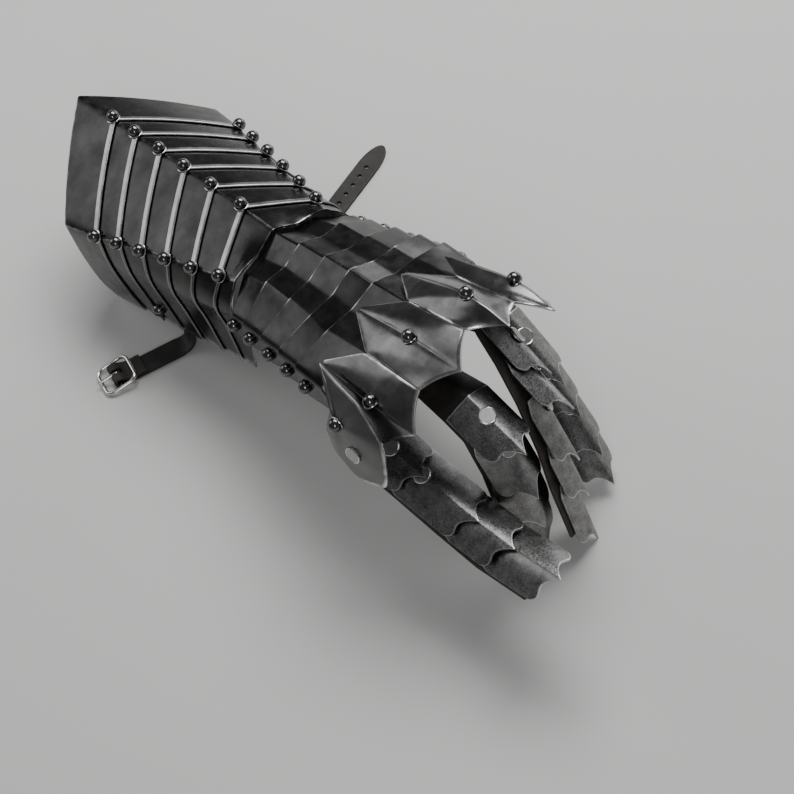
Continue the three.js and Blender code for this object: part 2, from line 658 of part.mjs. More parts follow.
function mirroredSolid(geometry) {
  const flipped = geometry.clone().scale(1, -1, 1);
  const index = flipped.index.array;
  for (let i = 0; i < index.length; i += 3) [index[i], index[i + 1]] = [index[i + 1], index[i]];
  return flipped;
}

function roundedBox(shape, [x0, x1], [y0, y1], r) {
  shape.moveTo(x0 + r, y0).lineTo(x1 - r, y0).absarc(x1 - r, y0 + r, r, -Math.PI / 2, 0, false);
  shape.absarc(x1 - r, y1 - r, r, 0, Math.PI / 2, false);
  shape.absarc(x0 + r, y1 - r, r, Math.PI / 2, Math.PI, false);
  shape.absarc(x0 + r, y0 + r, r, Math.PI, 1.5 * Math.PI, false);
  return shape;
}

// Flat ring with a middle bar; the strap runs under the near side, so the ring lies tilted.
function buckleFrame() {
  const { long, wide, wire, bar, corner, tilt } = BUCKLE;
  const shape = roundedBox(new THREE.Shape(), [-long / 2, long / 2], [-wide / 2, wide / 2], corner);
  for (const side of [-1, 1]) {
    const reach = [side * bar / 2, side * (long / 2 - wire)].sort((a, b) => a - b);
    shape.holes.push(roundedBox(new THREE.Path(), reach, [wire - wide / 2, wide / 2 - wire], 2));
  }
  const frame = new THREE.ExtrudeGeometry(shape, { depth: wire, bevelEnabled: false, curveSegments: 3 });
  return combine(atBuckle(frame.translate(0, 0, -wire / 2).rotateY(radians(tilt))));
}

function buckleProng() {
  const flat = { depth: 2 * PRONG.half, bevelEnabled: false, curveSegments: 6 };
  const ring = new THREE.Shape().absarc(0, 0, PRONG.eyeOuter, 0, 2 * Math.PI, false);
  ring.holes.push(new THREE.Path().absarc(0, 0, PRONG.eyeInner, 0, 2 * Math.PI, false));
  const arm = new THREE.Shape(PRONG_ARM.map(([x, y]) => new THREE.Vector2(x, y)));
  const upright = (shape) => (
    new THREE.ExtrudeGeometry(shape, flat).translate(0, 0, -PRONG.half).rotateX(Math.PI / 2));
  return atBuckle(combine(upright(ring), [upright(arm)]));
}

// ---- assembly -------------------------------------------------------------------------------

const worn = new THREE.Group();

function put(group, name, geometry, material) {
  const mesh = new THREE.Mesh(geometry, material);
  mesh.name = name;
  group.add(mesh);
}

for (let n = 1; n < CUFF_STATIONS.length; n++) put(worn, `cuff_lame_${n}`, cuffLame(n), DARK_STEEL);
HINGES.forEach((_, k) => put(worn, `hand_lame_${k + 1}`, handLame(k), DARK_STEEL));
for (const name of Object.keys(CAPS)) put(worn, `knuckle_cap_${name}`, knuckleCap(CAPS[name]), CAP_STEEL);
put(worn, 'thumb_base_plate', thumbBase(), DARK_STEEL);

for (const [name, finger] of Object.entries(FINGERS)) {
  fingerFrames(finger).forEach((frame, i) => {
    put(worn, `${name}_plate_${i + 1}`, lappedPlate(frame, finger, i), PLATE_STEEL);
  });
  put(worn, `${name}_leather`, fingerLeather(name), BLACK_LEATHER);
}

worn.rotation.y = -radians(REST_PITCH);
worn.updateMatrixWorld(true);
const floorHeight = new THREE.Box3().setFromObject(worn, true).min.z;

const laid = new THREE.Group();
laid.position.z = floorHeight;
put(laid, 'buckle_strap', buckleStrap(floorHeight), BLACK_LEATHER);
put(laid, 'tongue_strap', tongueStrap(floorHeight), BLACK_LEATHER);
put(laid, 'buckle_frame', buckleFrame(), NICKEL);
put(laid, 'buckle_prong', buckleProng(), NICKEL);

const gauntlet = new THREE.Group();
gauntlet.add(worn, laid);
gauntlet.updateMatrixWorld(true);
const bounds = new THREE.Box3().setFromObject(gauntlet, true);
gauntlet.position.set(
  -(bounds.min.x + bounds.max.x) / 2,
  -(bounds.min.y + bounds.max.y) / 2,
  -bounds.min.z,
);

export default gauntlet;
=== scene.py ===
"""Articulated plate gauntlet for the left hand: dark steel lames, brushed knuckle caps, lapped finger
plates on black leather, and a buckled strap, laid palm down.

Steel is laid out in the wearer's frame, in millimetres: X from the elbow to the fingers, Y from the
thumb side to the little finger, Z out of the back of the hand. WEARER turns that into the row frame.
"""

import json
import math

import bmesh
import bpy
from mathutils import Matrix, Vector


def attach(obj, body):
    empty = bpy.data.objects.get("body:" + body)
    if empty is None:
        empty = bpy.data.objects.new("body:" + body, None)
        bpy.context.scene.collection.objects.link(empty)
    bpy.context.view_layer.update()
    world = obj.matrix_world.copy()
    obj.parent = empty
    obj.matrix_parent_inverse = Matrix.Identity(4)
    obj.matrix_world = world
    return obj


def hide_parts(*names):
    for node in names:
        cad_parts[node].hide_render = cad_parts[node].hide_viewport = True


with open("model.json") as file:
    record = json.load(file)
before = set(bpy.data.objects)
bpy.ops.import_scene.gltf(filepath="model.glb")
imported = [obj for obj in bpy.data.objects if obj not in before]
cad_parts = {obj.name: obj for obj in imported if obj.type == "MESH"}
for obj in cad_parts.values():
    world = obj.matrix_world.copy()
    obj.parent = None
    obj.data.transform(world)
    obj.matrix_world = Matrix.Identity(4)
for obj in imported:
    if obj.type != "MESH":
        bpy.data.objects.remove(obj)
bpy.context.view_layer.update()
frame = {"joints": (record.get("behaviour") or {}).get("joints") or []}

MM = 0.001

# ---- driving dimensions, mm and degrees -------------------------------------------------------

REST_PITCH = 20.6  # how far the nose is pitched up as it lies
WALL = 1.2
CUFF_GAP = 0.3
HAND_GAP = 1.2
LAP_INSET = WALL + CUFF_GAP

CUFF_STATIONS = [
    {"top": (-44, 159), "side": (-2, 66.5, 109), "hem": (-15, 57.5, 38)},
    {"top": (-2.5, 149), "side": (30.5, 62, 105), "hem": (20, 56.5, 35)},
    {"top": (21.5, 142), "side": (51.5, 58, 102), "hem": (43, 56, 33)},
    {"top": (47, 134), "side": (73.5, 54, 98.5), "hem": (65.5, 55, 31)},
    {"top": (72.5, 126), "side": (96, 49.5, 94.5), "hem": (89, 54, 28.5)},
    {"top": (100, 117.5), "side": (119.5, 45, 90.5), "hem": (113, 53, 26)},
    {"top": (130, 109), "side": (144, 40, 87), "hem": (134, 52, 24)},
    {"top": (159, 97.5), "side": (157, 37.5, 85), "hem": (150, 51.5, 23)},
]
FLANK_REAR = {"high": (65.8, 84), "low": (63, 58)}
FLANK_WRIST = {"high": (49.8, 70), "low": (49.8, 53)}
UPPER_BULGE = 2.4  # of the cuff's upper faces at the rear, fading to none at the wrist
SEAM_LEAD = 0.12
SEAM_TAIL = 0.14
WRIST_TAB = [(23, 150), (53, 167), (70, 158), (85, 157)]  # height and reach of the wrist edge
WRIST_VALLEY = {"y": 16, "wide": 9, "deep": 2.4, "above": 84, "power": 6}
BAND_WIDE = 4.6  # raised border along the front of each cuff lame, painted lighter as a highlight
BAND_HIGH = 0.35
BAND_SHOULDER = 0.3  # how far back the border takes to rise
EDGE_ROLL = 0.45  # how far a lame's front edge is dressed down onto the next lame
ROLL_WIDE = 0.7
FLANK_BAND = 2.4  # the same border below the side ridges
RIDGE_SOFT = 1.3  # how far a pressed ridge is rounded off to each side
# painted highlight along the cuff's pressed ridges: its strength and how far it spreads
CREASE_HIGHLIGHT = 0.38
CREASE_HIGHLIGHT_WIDE = 2.2

HINGES = [(160, 62.5), (181, 60), (204, 57), (226, 54), (247, 50)]
TAB_Y = 52.2
TAB_STEP = WALL + HAND_GAP
TAB_BASE = [53, 51, 48, 45, 41]
TAB_TOP = [70, 69, 67.5, 66, 63.5]
TAB_BACK = 7.5
TAB_AHEAD = 6.5
TAB_KEY_UP = 2  # of the tab's upright edge above the hinge
TAB_ROUND = 3.2
BEND_AHEAD = [3, -4, -4, -4, -4]  # of the hinge, where a tab's rear edge bends up to the back of the hand
FRONT_BASE_UP = 1
FRONT_TOP_DOWN = 5
HAND_LAP = 4.5
HAND_DROP = 3
HAND_EDGES = [
    {"ridge": (153, 0, 96), "valley": (154, 15, 86.5), "outer": (155, 29, 84)},
    {"ridge": (188, 0, 94.5), "valley": (186, 15.5, 87), "outer": (185, 30, 86.5)},
    {"ridge": (215, 0, 92), "valley": (212, 16, 84), "outer": (211, 31.5, 82)},
    {"ridge": (240, 0, 89), "valley": (237, 16.8, 81), "outer": (234, 33.5, 78)},
    {"ridge": (261, 0, 84.5), "valley": (256, 17.5, 76.5), "outer": (251, 35.5, 73)},
    {"ridge": (293, 0, 78), "valley": (273, 18, 73), "outer": (289, 36, 67)},
]
LAST_TAB = {"tab_x": 266, "bend_x": 265, "base": 36, "top": 55, "hinge_z": 47}
HAND_SOFT = [0.6, 4.0, 2.5, 1.2, 2.0]  # how far the keys of a half section are rounded, tab to valley
HAND_CREST_SOFT = 1.2
FLAT_SHINE = 0.35  # how bright a lame's edge rubs away from its bends
# the rubbed edge is painted brighter at the bends as a highlight: how much, and how far it spreads
BEND_HIGHLIGHT = 0.65
BEND_HIGHLIGHT_WIDE = 5

CAP_LIFT = 2.1
CAP_GAP = 0.5
CAP_SWELL = 1.4
CAP_SOFT = 1.2  # how far a cap's ridge is rounded off to each side
CAP_NARROW = 6  # width of a row that is too short for that
SCALLOP = 2
SHOULDER_INDEX = (289, -36, 67 + CAP_LIFT)
SHOULDER_MIDDLE = (293, 0, 78 + CAP_LIFT)
SHOULDER_RING = (289, 36, 67 + CAP_LIFT)
RIM_INDEX = (337, -37, 57.4)
RIM_MIDDLE = (346, 0, 74.6)
RIM_RING = (345.5, 35, 67)
CAPS = {
    "index": {"back": (264, -53.5, 68), "boss": (306, -54, 51), "corner": (341, -54, 38.7),
              "rims": [(309, -62, 25.6), RIM_INDEX], "shoulders": [None, SHOULDER_INDEX]},
    "middle": {"back": (263, -18, 80), "boss": (314, -18, 73), "corner": (357, -18, 62.5),
               "rims": [RIM_INDEX, RIM_MIDDLE], "shoulders": [SHOULDER_INDEX, SHOULDER_MIDDLE]},
    "ring": {"back": (264, 17, 80), "boss": (333, 17, 83), "corner": (365, 17, 70),
             "rims": [RIM_MIDDLE, RIM_RING], "shoulders": [SHOULDER_MIDDLE, SHOULDER_RING]},
    "little": {"back": (264, 46, 71), "boss": (328, 50, 66), "corner": (358, 50, 53),
               "rims": [RIM_RING, (338, 60, 45)], "shoulders": [SHOULDER_RING, None]},
}

TONGUE = 18  # how far a finger plate's point stands ahead of its straight sides
LOBE_REACH = 8
LOBE_AT = 0.74  # of the half width
SWEEP_DEPTH = 1
SPIKE_WIDE = 0.6
SPIKE_POWER = 1.7
SIDE_LAP = 5
FINGER_ARCH = 9.5
ARCH_POWER = 1.5
RIVET_AT = 11.5  # from a plate's rear edge, so that it peeps from under the tongue before it
RIVET_ROOM = 6
REAR_NARROW = 0.84
REAR_OVER = 9
# Each plate is its slope, its length, and how far below it the next plate's rear edge lies,
# with the place of its rivet where that is unusual.
FINGERS = {
    "index": {"start": (289, -54, 18.5), "width": 35, "roll": -10,
              "plates": [(-27, 40, 4.8), (-23, 66, 5, 19), (-18, 51, 6.4), (-9, 60, 0)]},
    "middle": {"start": (344, -16, 38), "width": 32, "roll": -3,
               "plates": [(-41, 47.5, 5.4, 16), (-82, 51.5, 3.2, 13.5), (-95, 50, 3), (-103, 48, 0)]},
    "ring": {"start": (331.5, 29.4, 58.5), "width": 27, "roll": 55,
             "plates": [(-50, 45.5, 4.3, 16), (-49, 46, 6.8), (-83, 54.5, 3.2), (-90, 50.5, 3.2),
                        (-97, 60, 0)]},
    "little": {"start": (304, 47, 35), "width": 29, "roll": 5,
               "plates": [(-57, 52, 3, 16), (-70, 47, 3.4), (-72, 51, 3, 13.5), (-80, 46, 0)]},
}
LEATHER = 2
LEATHER_MARGIN = 0.8
LEATHER_DOWN = WALL * 1.3 + 0.8  # from a plate's outer face to the leather's
LEATHER_ROOTS = {"index": (273, -46, 36), "middle": (276, -17, 60),
                 "ring": (276, 17, 60), "little": (273, 41, 48)}
ROOT_WIDTH = 0.6
LEATHER_BACK = 1  # how far behind each plate its stretch of leather starts
LEATHER_SHORT = 2  # how far inside the last plate it ends

THUMB_OUTLINE = [
    (274, -58, 73), (287, -66, 57), (277, -75.5, 38.5), (283, -79, 24.5), (294, -79, 8),
    (318, -75, 6), (322.5, -67, 31.5), (315, -64, 44), (307, -62, 58), (286, -59.5, 66.5),
]
THUMB_CORNERS = [4, 3, 5, 5, 6, 9, 5, 5, 3]  # how far each corner after the sharp first one is rounded
THUMB_CREST = (293, -73.5, 46.5)
THUMB_RINGS = 12
THUMB_DISC = {"foot": (300.2, -76.6, 27.5), "axis": (0.174, -0.974, 0.144)}

DOME_R = 4.4
DOME_LIFT = 1.1
BEAD_WIRE = 0.4
BEAD_DROP = 0.5
BEAD_INSET = 0.1
DISC_R = 5.2
DISC_HIGH = 0.9
DISC_SUNK = 0.6
DISC_WIRE = 0.5
DISC_RIM_INSET = 0.25
DISC_RIM_DOWN = 0.3

STEEL_RIM = 0.6  # how far the rubbed edge of each kind of piece fades inwards
PLATE_RIM = 0.8
STRAP_RIM = 0.7
THUMB_RIM = 1.0
STEEL_EDGE = 0.22  # how wide a cut edge is broken
PLATE_EDGE = 0.16
THUMB_EDGE = 0.2
LEATHER_EDGE = 0.35
STRAP_EDGE = 0.4
EDGE_ANGLE = 55  # between faces, past which an edge is broken
SMOOTH_ANGLE = 38  # between faces, past which an edge stays sharp
TUBE_ANGLE = 50
RIVET_ANGLE = 40
CUT_ANGLE = 35


# ---- from the wearer's frame to the row frame ---------------------------------------------------

def wearer_matrix():
    """The first hand hinge is at a known place in both frames, and only the pitch differs."""
    turn = Matrix.Rotation(-math.radians(REST_PITCH), 4, "Y") @ Matrix.Scale(MM, 4)
    hinge = next(joint for joint in frame["joints"] if joint["name"] == "flex_1")
    there = turn @ Vector((HINGES[0][0], 0, HINGES[0][1]))
    return Matrix.Translation(Vector(hinge["pos_m"]) - there) @ turn


WEARER = wearer_matrix()


def mirrored(point):
    """The same place on the other side of the middle."""
    return Vector((point.x, -point.y, point.z))


def mix(a, b, t):
    return a + (b - a) * t


def blend_rows(rear, front, share):
    return [a.lerp(b, share) for a, b in zip(rear, front)]


# ---- curves --------------------------------------------------------------------------------------

def spline(keys, count):
    """Smooth curve through the keys, sampled evenly by key."""
    ends = [keys[0] * 2 - keys[1]] + list(keys) + [keys[-1] * 2 - keys[-2]]
    points = []
    for i in range(count):
        along = i / (count - 1) * (len(keys) - 1)
        at = min(int(along), len(keys) - 2)
        t = along - at
        a, b, c, d = ends[at:at + 4]
        points.append(0.5 * (2 * b + (c - a) * t + (2 * a - 5 * b + 4 * c - d) * t * t
                             + (3 * b - a - 3 * c + d) * t ** 3))
    return points


def softened(points, corners, reach):
    """The same line with the named corners pressed round."""
    result = []
    for i, point in enumerate(points):
        if i not in corners:
            result.append(point)
            continue
        before = point + (points[i - 1] - point).normalized() * reach
        after = point + (points[i + 1] - point).normalized() * reach
        result += [before, point * 0.5 + (before + after) * 0.25, after]
    return result


def soft_path(keys, radii, straight=5, arc=4):
    """Polyline through keys whose inner corners are arcs of about the given reach."""
    points = [keys[0]]
    start = keys[0]
    for i in range(1, len(keys) - 1):
        back, here, ahead = keys[i - 1], keys[i], keys[i + 1]
        enter = here + (back - here).normalized() * min(radii[i - 1], (back - here).length * 0.45)
        leave = here + (ahead - here).normalized() * min(radii[i - 1], (ahead - here).length * 0.45)
        points += [start.lerp(enter, k / straight) for k in range(1, straight)]
        for k in range(arc + 1):
            t = k / arc
            points.append(enter.lerp(here, t).lerp(here.lerp(leave, t), t))
        start = leave
    points += [start.lerp(keys[-1], k / straight) for k in range(1, straight + 1)]
    return points


def piecewise(pairs, value):
    """Straight-line reading of a short list of (value, result) pairs."""
    for (x0, y0), (x1, y1) in zip(pairs, pairs[1:]):
        if value <= x1:
            return mix(y0, y1, max(0, (value - x0) / (x1 - x0)))
    return pairs[-1][1]


# ---- meshes ---------------------------------------------------------------------------------------

def link(mesh, name):
    piece = bpy.data.objects.new(name, mesh)
    bpy.context.scene.collection.objects.link(piece)
    return piece


def grid_mesh(name, rows, marks):
    """Open skin from rows of points, with one float attribute per mark."""
    wide = len(rows[0])
    faces = [(r * wide + c, (r + 1) * wide + c, (r + 1) * wide + c + 1, r * wide + c + 1)
             for r in range(len(rows) - 1) for c in range(wide - 1)]
    mesh = bpy.data.meshes.new(name)
    mesh.from_pydata([point for row in rows for point in row], [], faces)
    for mark, values in marks.items():
        layer = mesh.attributes.new(mark, "FLOAT", "POINT")
        layer.data.foreach_set("value", [value for row in values for value in row])
    return mesh


def rim_marks(rows, reach, sides=(True, True, True, True)):
    """1 on the border of a grid, fading inwards over `reach` mm. sides: rear, front, first, last."""
    marks = []
    for row in rows:
        line = []
        for c, point in enumerate(row):
            gaps = []
            if sides[0]:
                gaps.append((point - rows[0][c]).length)
            if sides[1]:
                gaps.append((point - rows[-1][c]).length)
            if sides[2]:
                gaps.append((point - row[0]).length)
            if sides[3]:
                gaps.append((point - row[-1]).length)
            line.append(math.exp(-min(gaps) / reach))
        marks.append(line)
    return marks


def shaded(mesh, angle=SMOOTH_ANGLE):
    """Smooth shading that keeps the hard edges."""
    mesh.shade_smooth()
    mesh.set_sharp_from_angle(angle=math.radians(angle))


def applied(piece):
    """Turn the object's modifiers into plain mesh."""
    graph = bpy.context.evaluated_depsgraph_get()
    mesh = bpy.data.meshes.new_from_object(piece.evaluated_get(graph), depsgraph=graph)
    mesh.name = piece.name
    piece.modifiers.clear()
    piece.data = mesh


def thickened(piece, thickness, edge):
    """Give a skin its wall, inwards, and softly broken edges."""
    wall = piece.modifiers.new("wall", "SOLIDIFY")
    wall.thickness = thickness * MM
    wall.offset = -1
    wall.use_even_offset = False
    wall.use_rim = True
    brush = piece.modifiers.new("edge", "BEVEL")
    brush.width = edge * MM
    brush.segments = 2
    brush.limit_method = "ANGLE"
    brush.angle_limit = math.radians(EDGE_ANGLE)
    applied(piece)
    shaded(piece.data)


def plate(name, rows, material, rims, thickness=WALL, edge=STEEL_EDGE, matrix=None, band_highlights=None):
    """A sheet of even thickness whose outer skin is the grid of rows."""
    marks = {"rim": rims}
    if band_highlights:
        marks["band"] = band_highlights
    mesh = grid_mesh(name, rows, marks)
    mesh.transform(matrix or WEARER)
    mesh.materials.append(material)
    piece = link(mesh, name)
    thickened(piece, thickness, edge)
    return piece


def handed_over(piece, body, node):
    """Set a piece on the body it rides, and hide the node it stands for."""
    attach(piece, body)
    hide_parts(node)


def tube(name, points, radii, material, sides=14, closed=False):
    """Round bar along points, in row-frame metres."""
    mesh = bpy.data.meshes.new(name)
    work = bmesh.new()
    rings = []
    count = len(points)
    normal = None
    for i, point in enumerate(points):
        ahead = points[(i + 1) % count] if closed or i < count - 1 else point
        behind = points[i - 1] if closed or i > 0 else point
        tangent = (ahead - behind).normalized()
        if normal is None:
            normal = tangent.orthogonal().normalized()
        normal = (normal - tangent * normal.dot(tangent)).normalized()
        side = tangent.cross(normal)
        radius = radii[i] if isinstance(radii, list) else radii
        ring = []
        for k in range(sides):
            turn = 2 * math.pi * k / sides
            ring.append(work.verts.new(point + (normal * math.cos(turn) + side * math.sin(turn)) * radius))
        rings.append(ring)
    pairs = list(zip(rings, rings[1:])) + ([(rings[-1], rings[0])] if closed else [])
    for a, b in pairs:
        for k in range(sides):
            work.faces.new((a[k], a[(k + 1) % sides], b[(k + 1) % sides], b[k]))
    if not closed:
        work.faces.new(list(reversed(rings[0])))
        work.faces.new(rings[-1])
    bmesh.ops.recalc_face_normals(work, faces=work.faces)
    work.to_mesh(mesh)
    work.free()
    mesh.materials.append(material)
    shaded(mesh, TUBE_ANGLE)
    return link(mesh, name)


def joined(name, pieces):
    """One object from several, all at the origin."""
    with bpy.context.temp_override(active_object=pieces[0], object=pieces[0],
                                   selected_objects=pieces, selected_editable_objects=pieces):
        bpy.ops.object.join()
    pieces[0].name = name
    return pieces[0]


# ---- shaders --------------------------------------------------------------------------------------

class Finish:
    """A principled surface with the few node recipes that the finishes share."""

    def __init__(self, name, **sockets):
        self.material = bpy.data.materials.new(name)
        self.material.use_nodes = True
        self.tree = self.material.node_tree
        self.surface = self.tree.nodes["Principled BSDF"]
        for socket, value in sockets.items():
            self.surface.inputs[socket.replace("_", " ")].default_value = value
        self.place = self.add("ShaderNodeTexCoord").outputs["Object"]
        self.last_bump = None

    def add(self, kind, **settings):
        node = self.tree.nodes.new(kind)
        for key, value in settings.items():
            setattr(node, key, value)
        return node

    def feed(self, socket, value):
        if isinstance(value, bpy.types.NodeSocket):
            self.tree.links.new(value, socket)
        else:
            socket.default_value = value

    def noise(self, size, detail=3.0, stretch=(1, 1, 1), roughness=0.55):
        """Noise whose features are about `size` mm, drawn out along an axis by `stretch`."""
        mapping = self.add("ShaderNodeMapping")
        self.feed(mapping.inputs["Vector"], self.place)
        mapping.inputs["Scale"].default_value = [1 / (size * MM * s) for s in stretch]
        node = self.add("ShaderNodeTexNoise")
        self.feed(node.inputs["Vector"], mapping.outputs["Vector"])
        node.inputs["Scale"].default_value = 1.0
        node.inputs["Detail"].default_value = detail
        node.inputs["Roughness"].default_value = roughness
        return node.outputs["Fac"]

    def cells(self, size, feature="F1"):
        node = self.add("ShaderNodeTexVoronoi", feature=feature)
        self.feed(node.inputs["Vector"], self.place)
        node.inputs["Scale"].default_value = 1 / (size * MM)
        return node.outputs["Distance"]

    def mark(self, name):
        return self.add("ShaderNodeAttribute", attribute_name=name).outputs["Fac"]

    def remap(self, value, low, high, out_low=0.0, out_high=1.0):
        node = self.add("ShaderNodeMapRange", clamp=True)
        for socket, number in zip(("From Min", "From Max", "To Min", "To Max"),
                                  (low, high, out_low, out_high)):
            node.inputs[socket].default_value = number
        self.feed(node.inputs["Value"], value)
        return node.outputs["Result"]

    def maths(self, operation, a, b):
        node = self.add("ShaderNodeMath", operation=operation)
        self.feed(node.inputs[0], a)
        self.feed(node.inputs[1], b)
        return node.outputs["Value"]

    def blend(self, a, much, b, little):
        return self.maths("ADD", self.maths("MULTIPLY", a, much), self.maths("MULTIPLY", b, little))

    def colours(self, factor, a, b):
        node = self.add("ShaderNodeMix", data_type="RGBA")
        self.feed(node.inputs["Factor"], factor)
        self.feed(node.inputs["A"], (*a, 1) if isinstance(a, tuple) else a)
        self.feed(node.inputs["B"], (*b, 1) if isinstance(b, tuple) else b)
        return node.outputs["Result"]

    def bump(self, height, strength, depth):
        """Bump of `depth` mm on top of any earlier one."""
        node = self.add("ShaderNodeBump")
        node.inputs["Strength"].default_value = strength
        node.inputs["Distance"].default_value = depth * MM
        self.feed(node.inputs["Height"], height)
        if self.last_bump:
            self.feed(node.inputs["Normal"], self.last_bump)
        self.last_bump = node.outputs["Normal"]
        self.feed(self.surface.inputs["Normal"], self.last_bump)

    def paint(self, colour, roughness):
        self.feed(self.surface.inputs["Base Color"], colour)
        self.feed(self.surface.inputs["Roughness"], roughness)


def grey(value, warmth=0.0):
    return (value * (1 + warmth), value, value * (1 - warmth))


def steel_finish(name, dark, light, bright, rough, clouds=22, brushed=(1, 12, 1), scratch=0.25):
    """Worn steel: clouds of tone, fine brushing, bright metal where it rubs, and painted highlights along
    the cuff's borders and ridges and at the hand lames' bends.
    """
    finish = Finish(name, Metallic=1.0)
    cloud = finish.remap(finish.noise(clouds, 4.0), 0.3, 0.72)
    streak = finish.noise(1.1, 2.0, brushed)
    tone = finish.blend(cloud, 0.75, streak, 0.25)
    colour = finish.colours(tone, grey(dark, 0.01), grey(light, 0.01))
    patches = finish.remap(finish.noise(8, 3.0), 0.36, 0.62, 0.5, 1.15)
    # bright rubbed metal at the edges; where the rim mark comes from the cuff's ridges and the hand lames'
    # bends it is a painted highlight
    bright_edge = finish.remap(finish.maths("MULTIPLY", finish.mark("rim"), patches), 0.2, 0.8)
    colour = finish.colours(bright_edge, colour, grey(bright))
    # painted highlight: the raised border along the front of each cuff lame, patchy along its length
    band = finish.maths("MULTIPLY", finish.remap(finish.mark("band"), 0.25, 1.0),
                        finish.remap(finish.noise(14, 3.0), 0.3, 0.7, 0.6, 1.0))
    colour = finish.colours(band, colour, grey(bright * 0.85))
    rough_cloud = finish.remap(finish.noise(9, 4.0), 0.3, 0.7, rough - 0.06, rough + 0.08)
    shine = finish.maths("SUBTRACT", rough_cloud, finish.maths("MULTIPLY", bright_edge, 0.08))
    finish.paint(colour, finish.maths("ADD", shine, finish.maths("MULTIPLY", band, 0.1)))
    finish.bump(streak, scratch, 0.02)
    finish.bump(finish.noise(26, 2.0), 0.35, 0.5)
    return finish.material


def plate_finish():
    """Lighter finger plates, mottled and finely pitted."""
    finish = Finish("mottled plate steel", Metallic=1.0)
    blotch = finish.remap(finish.noise(7, 5.0, roughness=0.65), 0.32, 0.7)
    speck = finish.remap(finish.noise(0.9, 3.0), 0.38, 0.66)
    tone = finish.blend(blotch, 0.62, speck, 0.38)
    colour = finish.colours(tone, grey(0.09, 0.02), grey(0.34, 0.01))
    pits = finish.remap(finish.cells(1.6), 0.0, 0.16, 1.0, 0.0)
    sparse = finish.remap(finish.noise(5, 2.0), 0.5, 0.62)
    pitted = finish.maths("MULTIPLY", pits, sparse)
    colour = finish.colours(pitted, colour, grey(0.06, 0.04))
    bright_edge = finish.remap(finish.mark("rim"), 0.35, 0.8)
    colour = finish.colours(bright_edge, colour, grey(0.6))
    finish.paint(colour, finish.remap(speck, 0, 1, 0.27, 0.42))
    finish.bump(finish.maths("SUBTRACT", speck, pitted), 0.45, 0.035)
    finish.bump(finish.noise(14, 2.0), 0.4, 0.4)
    return finish.material


def leather_finish():
    """Black leather with a fine grain and a brown cut edge."""
    finish = Finish("black leather", Specular_IOR_Level=0.4)
    grain = finish.cells(0.9, "DISTANCE_TO_EDGE")
    wear = finish.remap(finish.noise(12, 4.0), 0.45, 0.75)
    colour = finish.colours(wear, (0.012, 0.011, 0.010), (0.035, 0.029, 0.024))
    colour = finish.colours(finish.remap(finish.mark("rim"), 0.45, 0.8), colour, (0.032, 0.02, 0.014))
    finish.paint(colour, finish.remap(finish.noise(3, 3.0), 0.3, 0.7, 0.42, 0.62))
    finish.bump(finish.remap(grain, 0.0, 0.12), 0.4, 0.08)
    finish.bump(finish.noise(6, 3.0), 0.4, 0.25)
    return finish.material


def simple_metal(name, low, high, rough, size=3.0):
    """Plain metal, a little uneven in tone and shine."""
    finish = Finish(name, Metallic=1.0)
    tone = finish.remap(finish.noise(size, 3.0), 0.3, 0.7)
    finish.paint(finish.colours(tone, grey(low, 0.01), grey(high, 0.01)),
                 finish.remap(finish.noise(size * 0.6, 3.0), 0.3, 0.7, rough * 0.8, rough * 1.25))
    finish.bump(finish.noise(0.7, 2.0), 0.15, 0.01)
    return finish.material


DARK_STEEL = steel_finish("dark gunmetal steel", 0.024, 0.066, 0.55, 0.23, scratch=0.2)
BASE_STEEL = steel_finish("satin base plate steel", 0.14, 0.2, 0.7, 0.36, clouds=24, scratch=0.12)
CAP_STEEL = steel_finish("brushed cap steel", 0.08, 0.22, 0.65, 0.22,
                         clouds=16, brushed=(14, 1, 14), scratch=0.3)
PLATE_STEEL = plate_finish()
BLACK_LEATHER = leather_finish()
DOME_METAL = simple_metal("black chrome", 0.1, 0.16, 0.12)
BEAD_METAL = simple_metal("bright steel", 0.55, 0.68, 0.22)
DISC_METAL = simple_metal("satin rivet steel", 0.3, 0.44, 0.4, 1.5)
NICKEL = simple_metal("polished nickel", 0.62, 0.72, 0.14)


# ---- rivets, set out by geometry nodes ---------------------------------------------------------

def new_tree(name, inputs):
    tree = bpy.data.node_groups.new(name, "GeometryNodeTree")
    tree.interface.new_socket("Geometry", in_out="INPUT", socket_type="NodeSocketGeometry")
    for label, value in inputs.items():
        socket = tree.interface.new_socket(label, in_out="INPUT", socket_type="NodeSocketFloat")
        socket.default_value = value
    tree.interface.new_socket("Geometry", in_out="OUTPUT", socket_type="NodeSocketGeometry")
    return tree


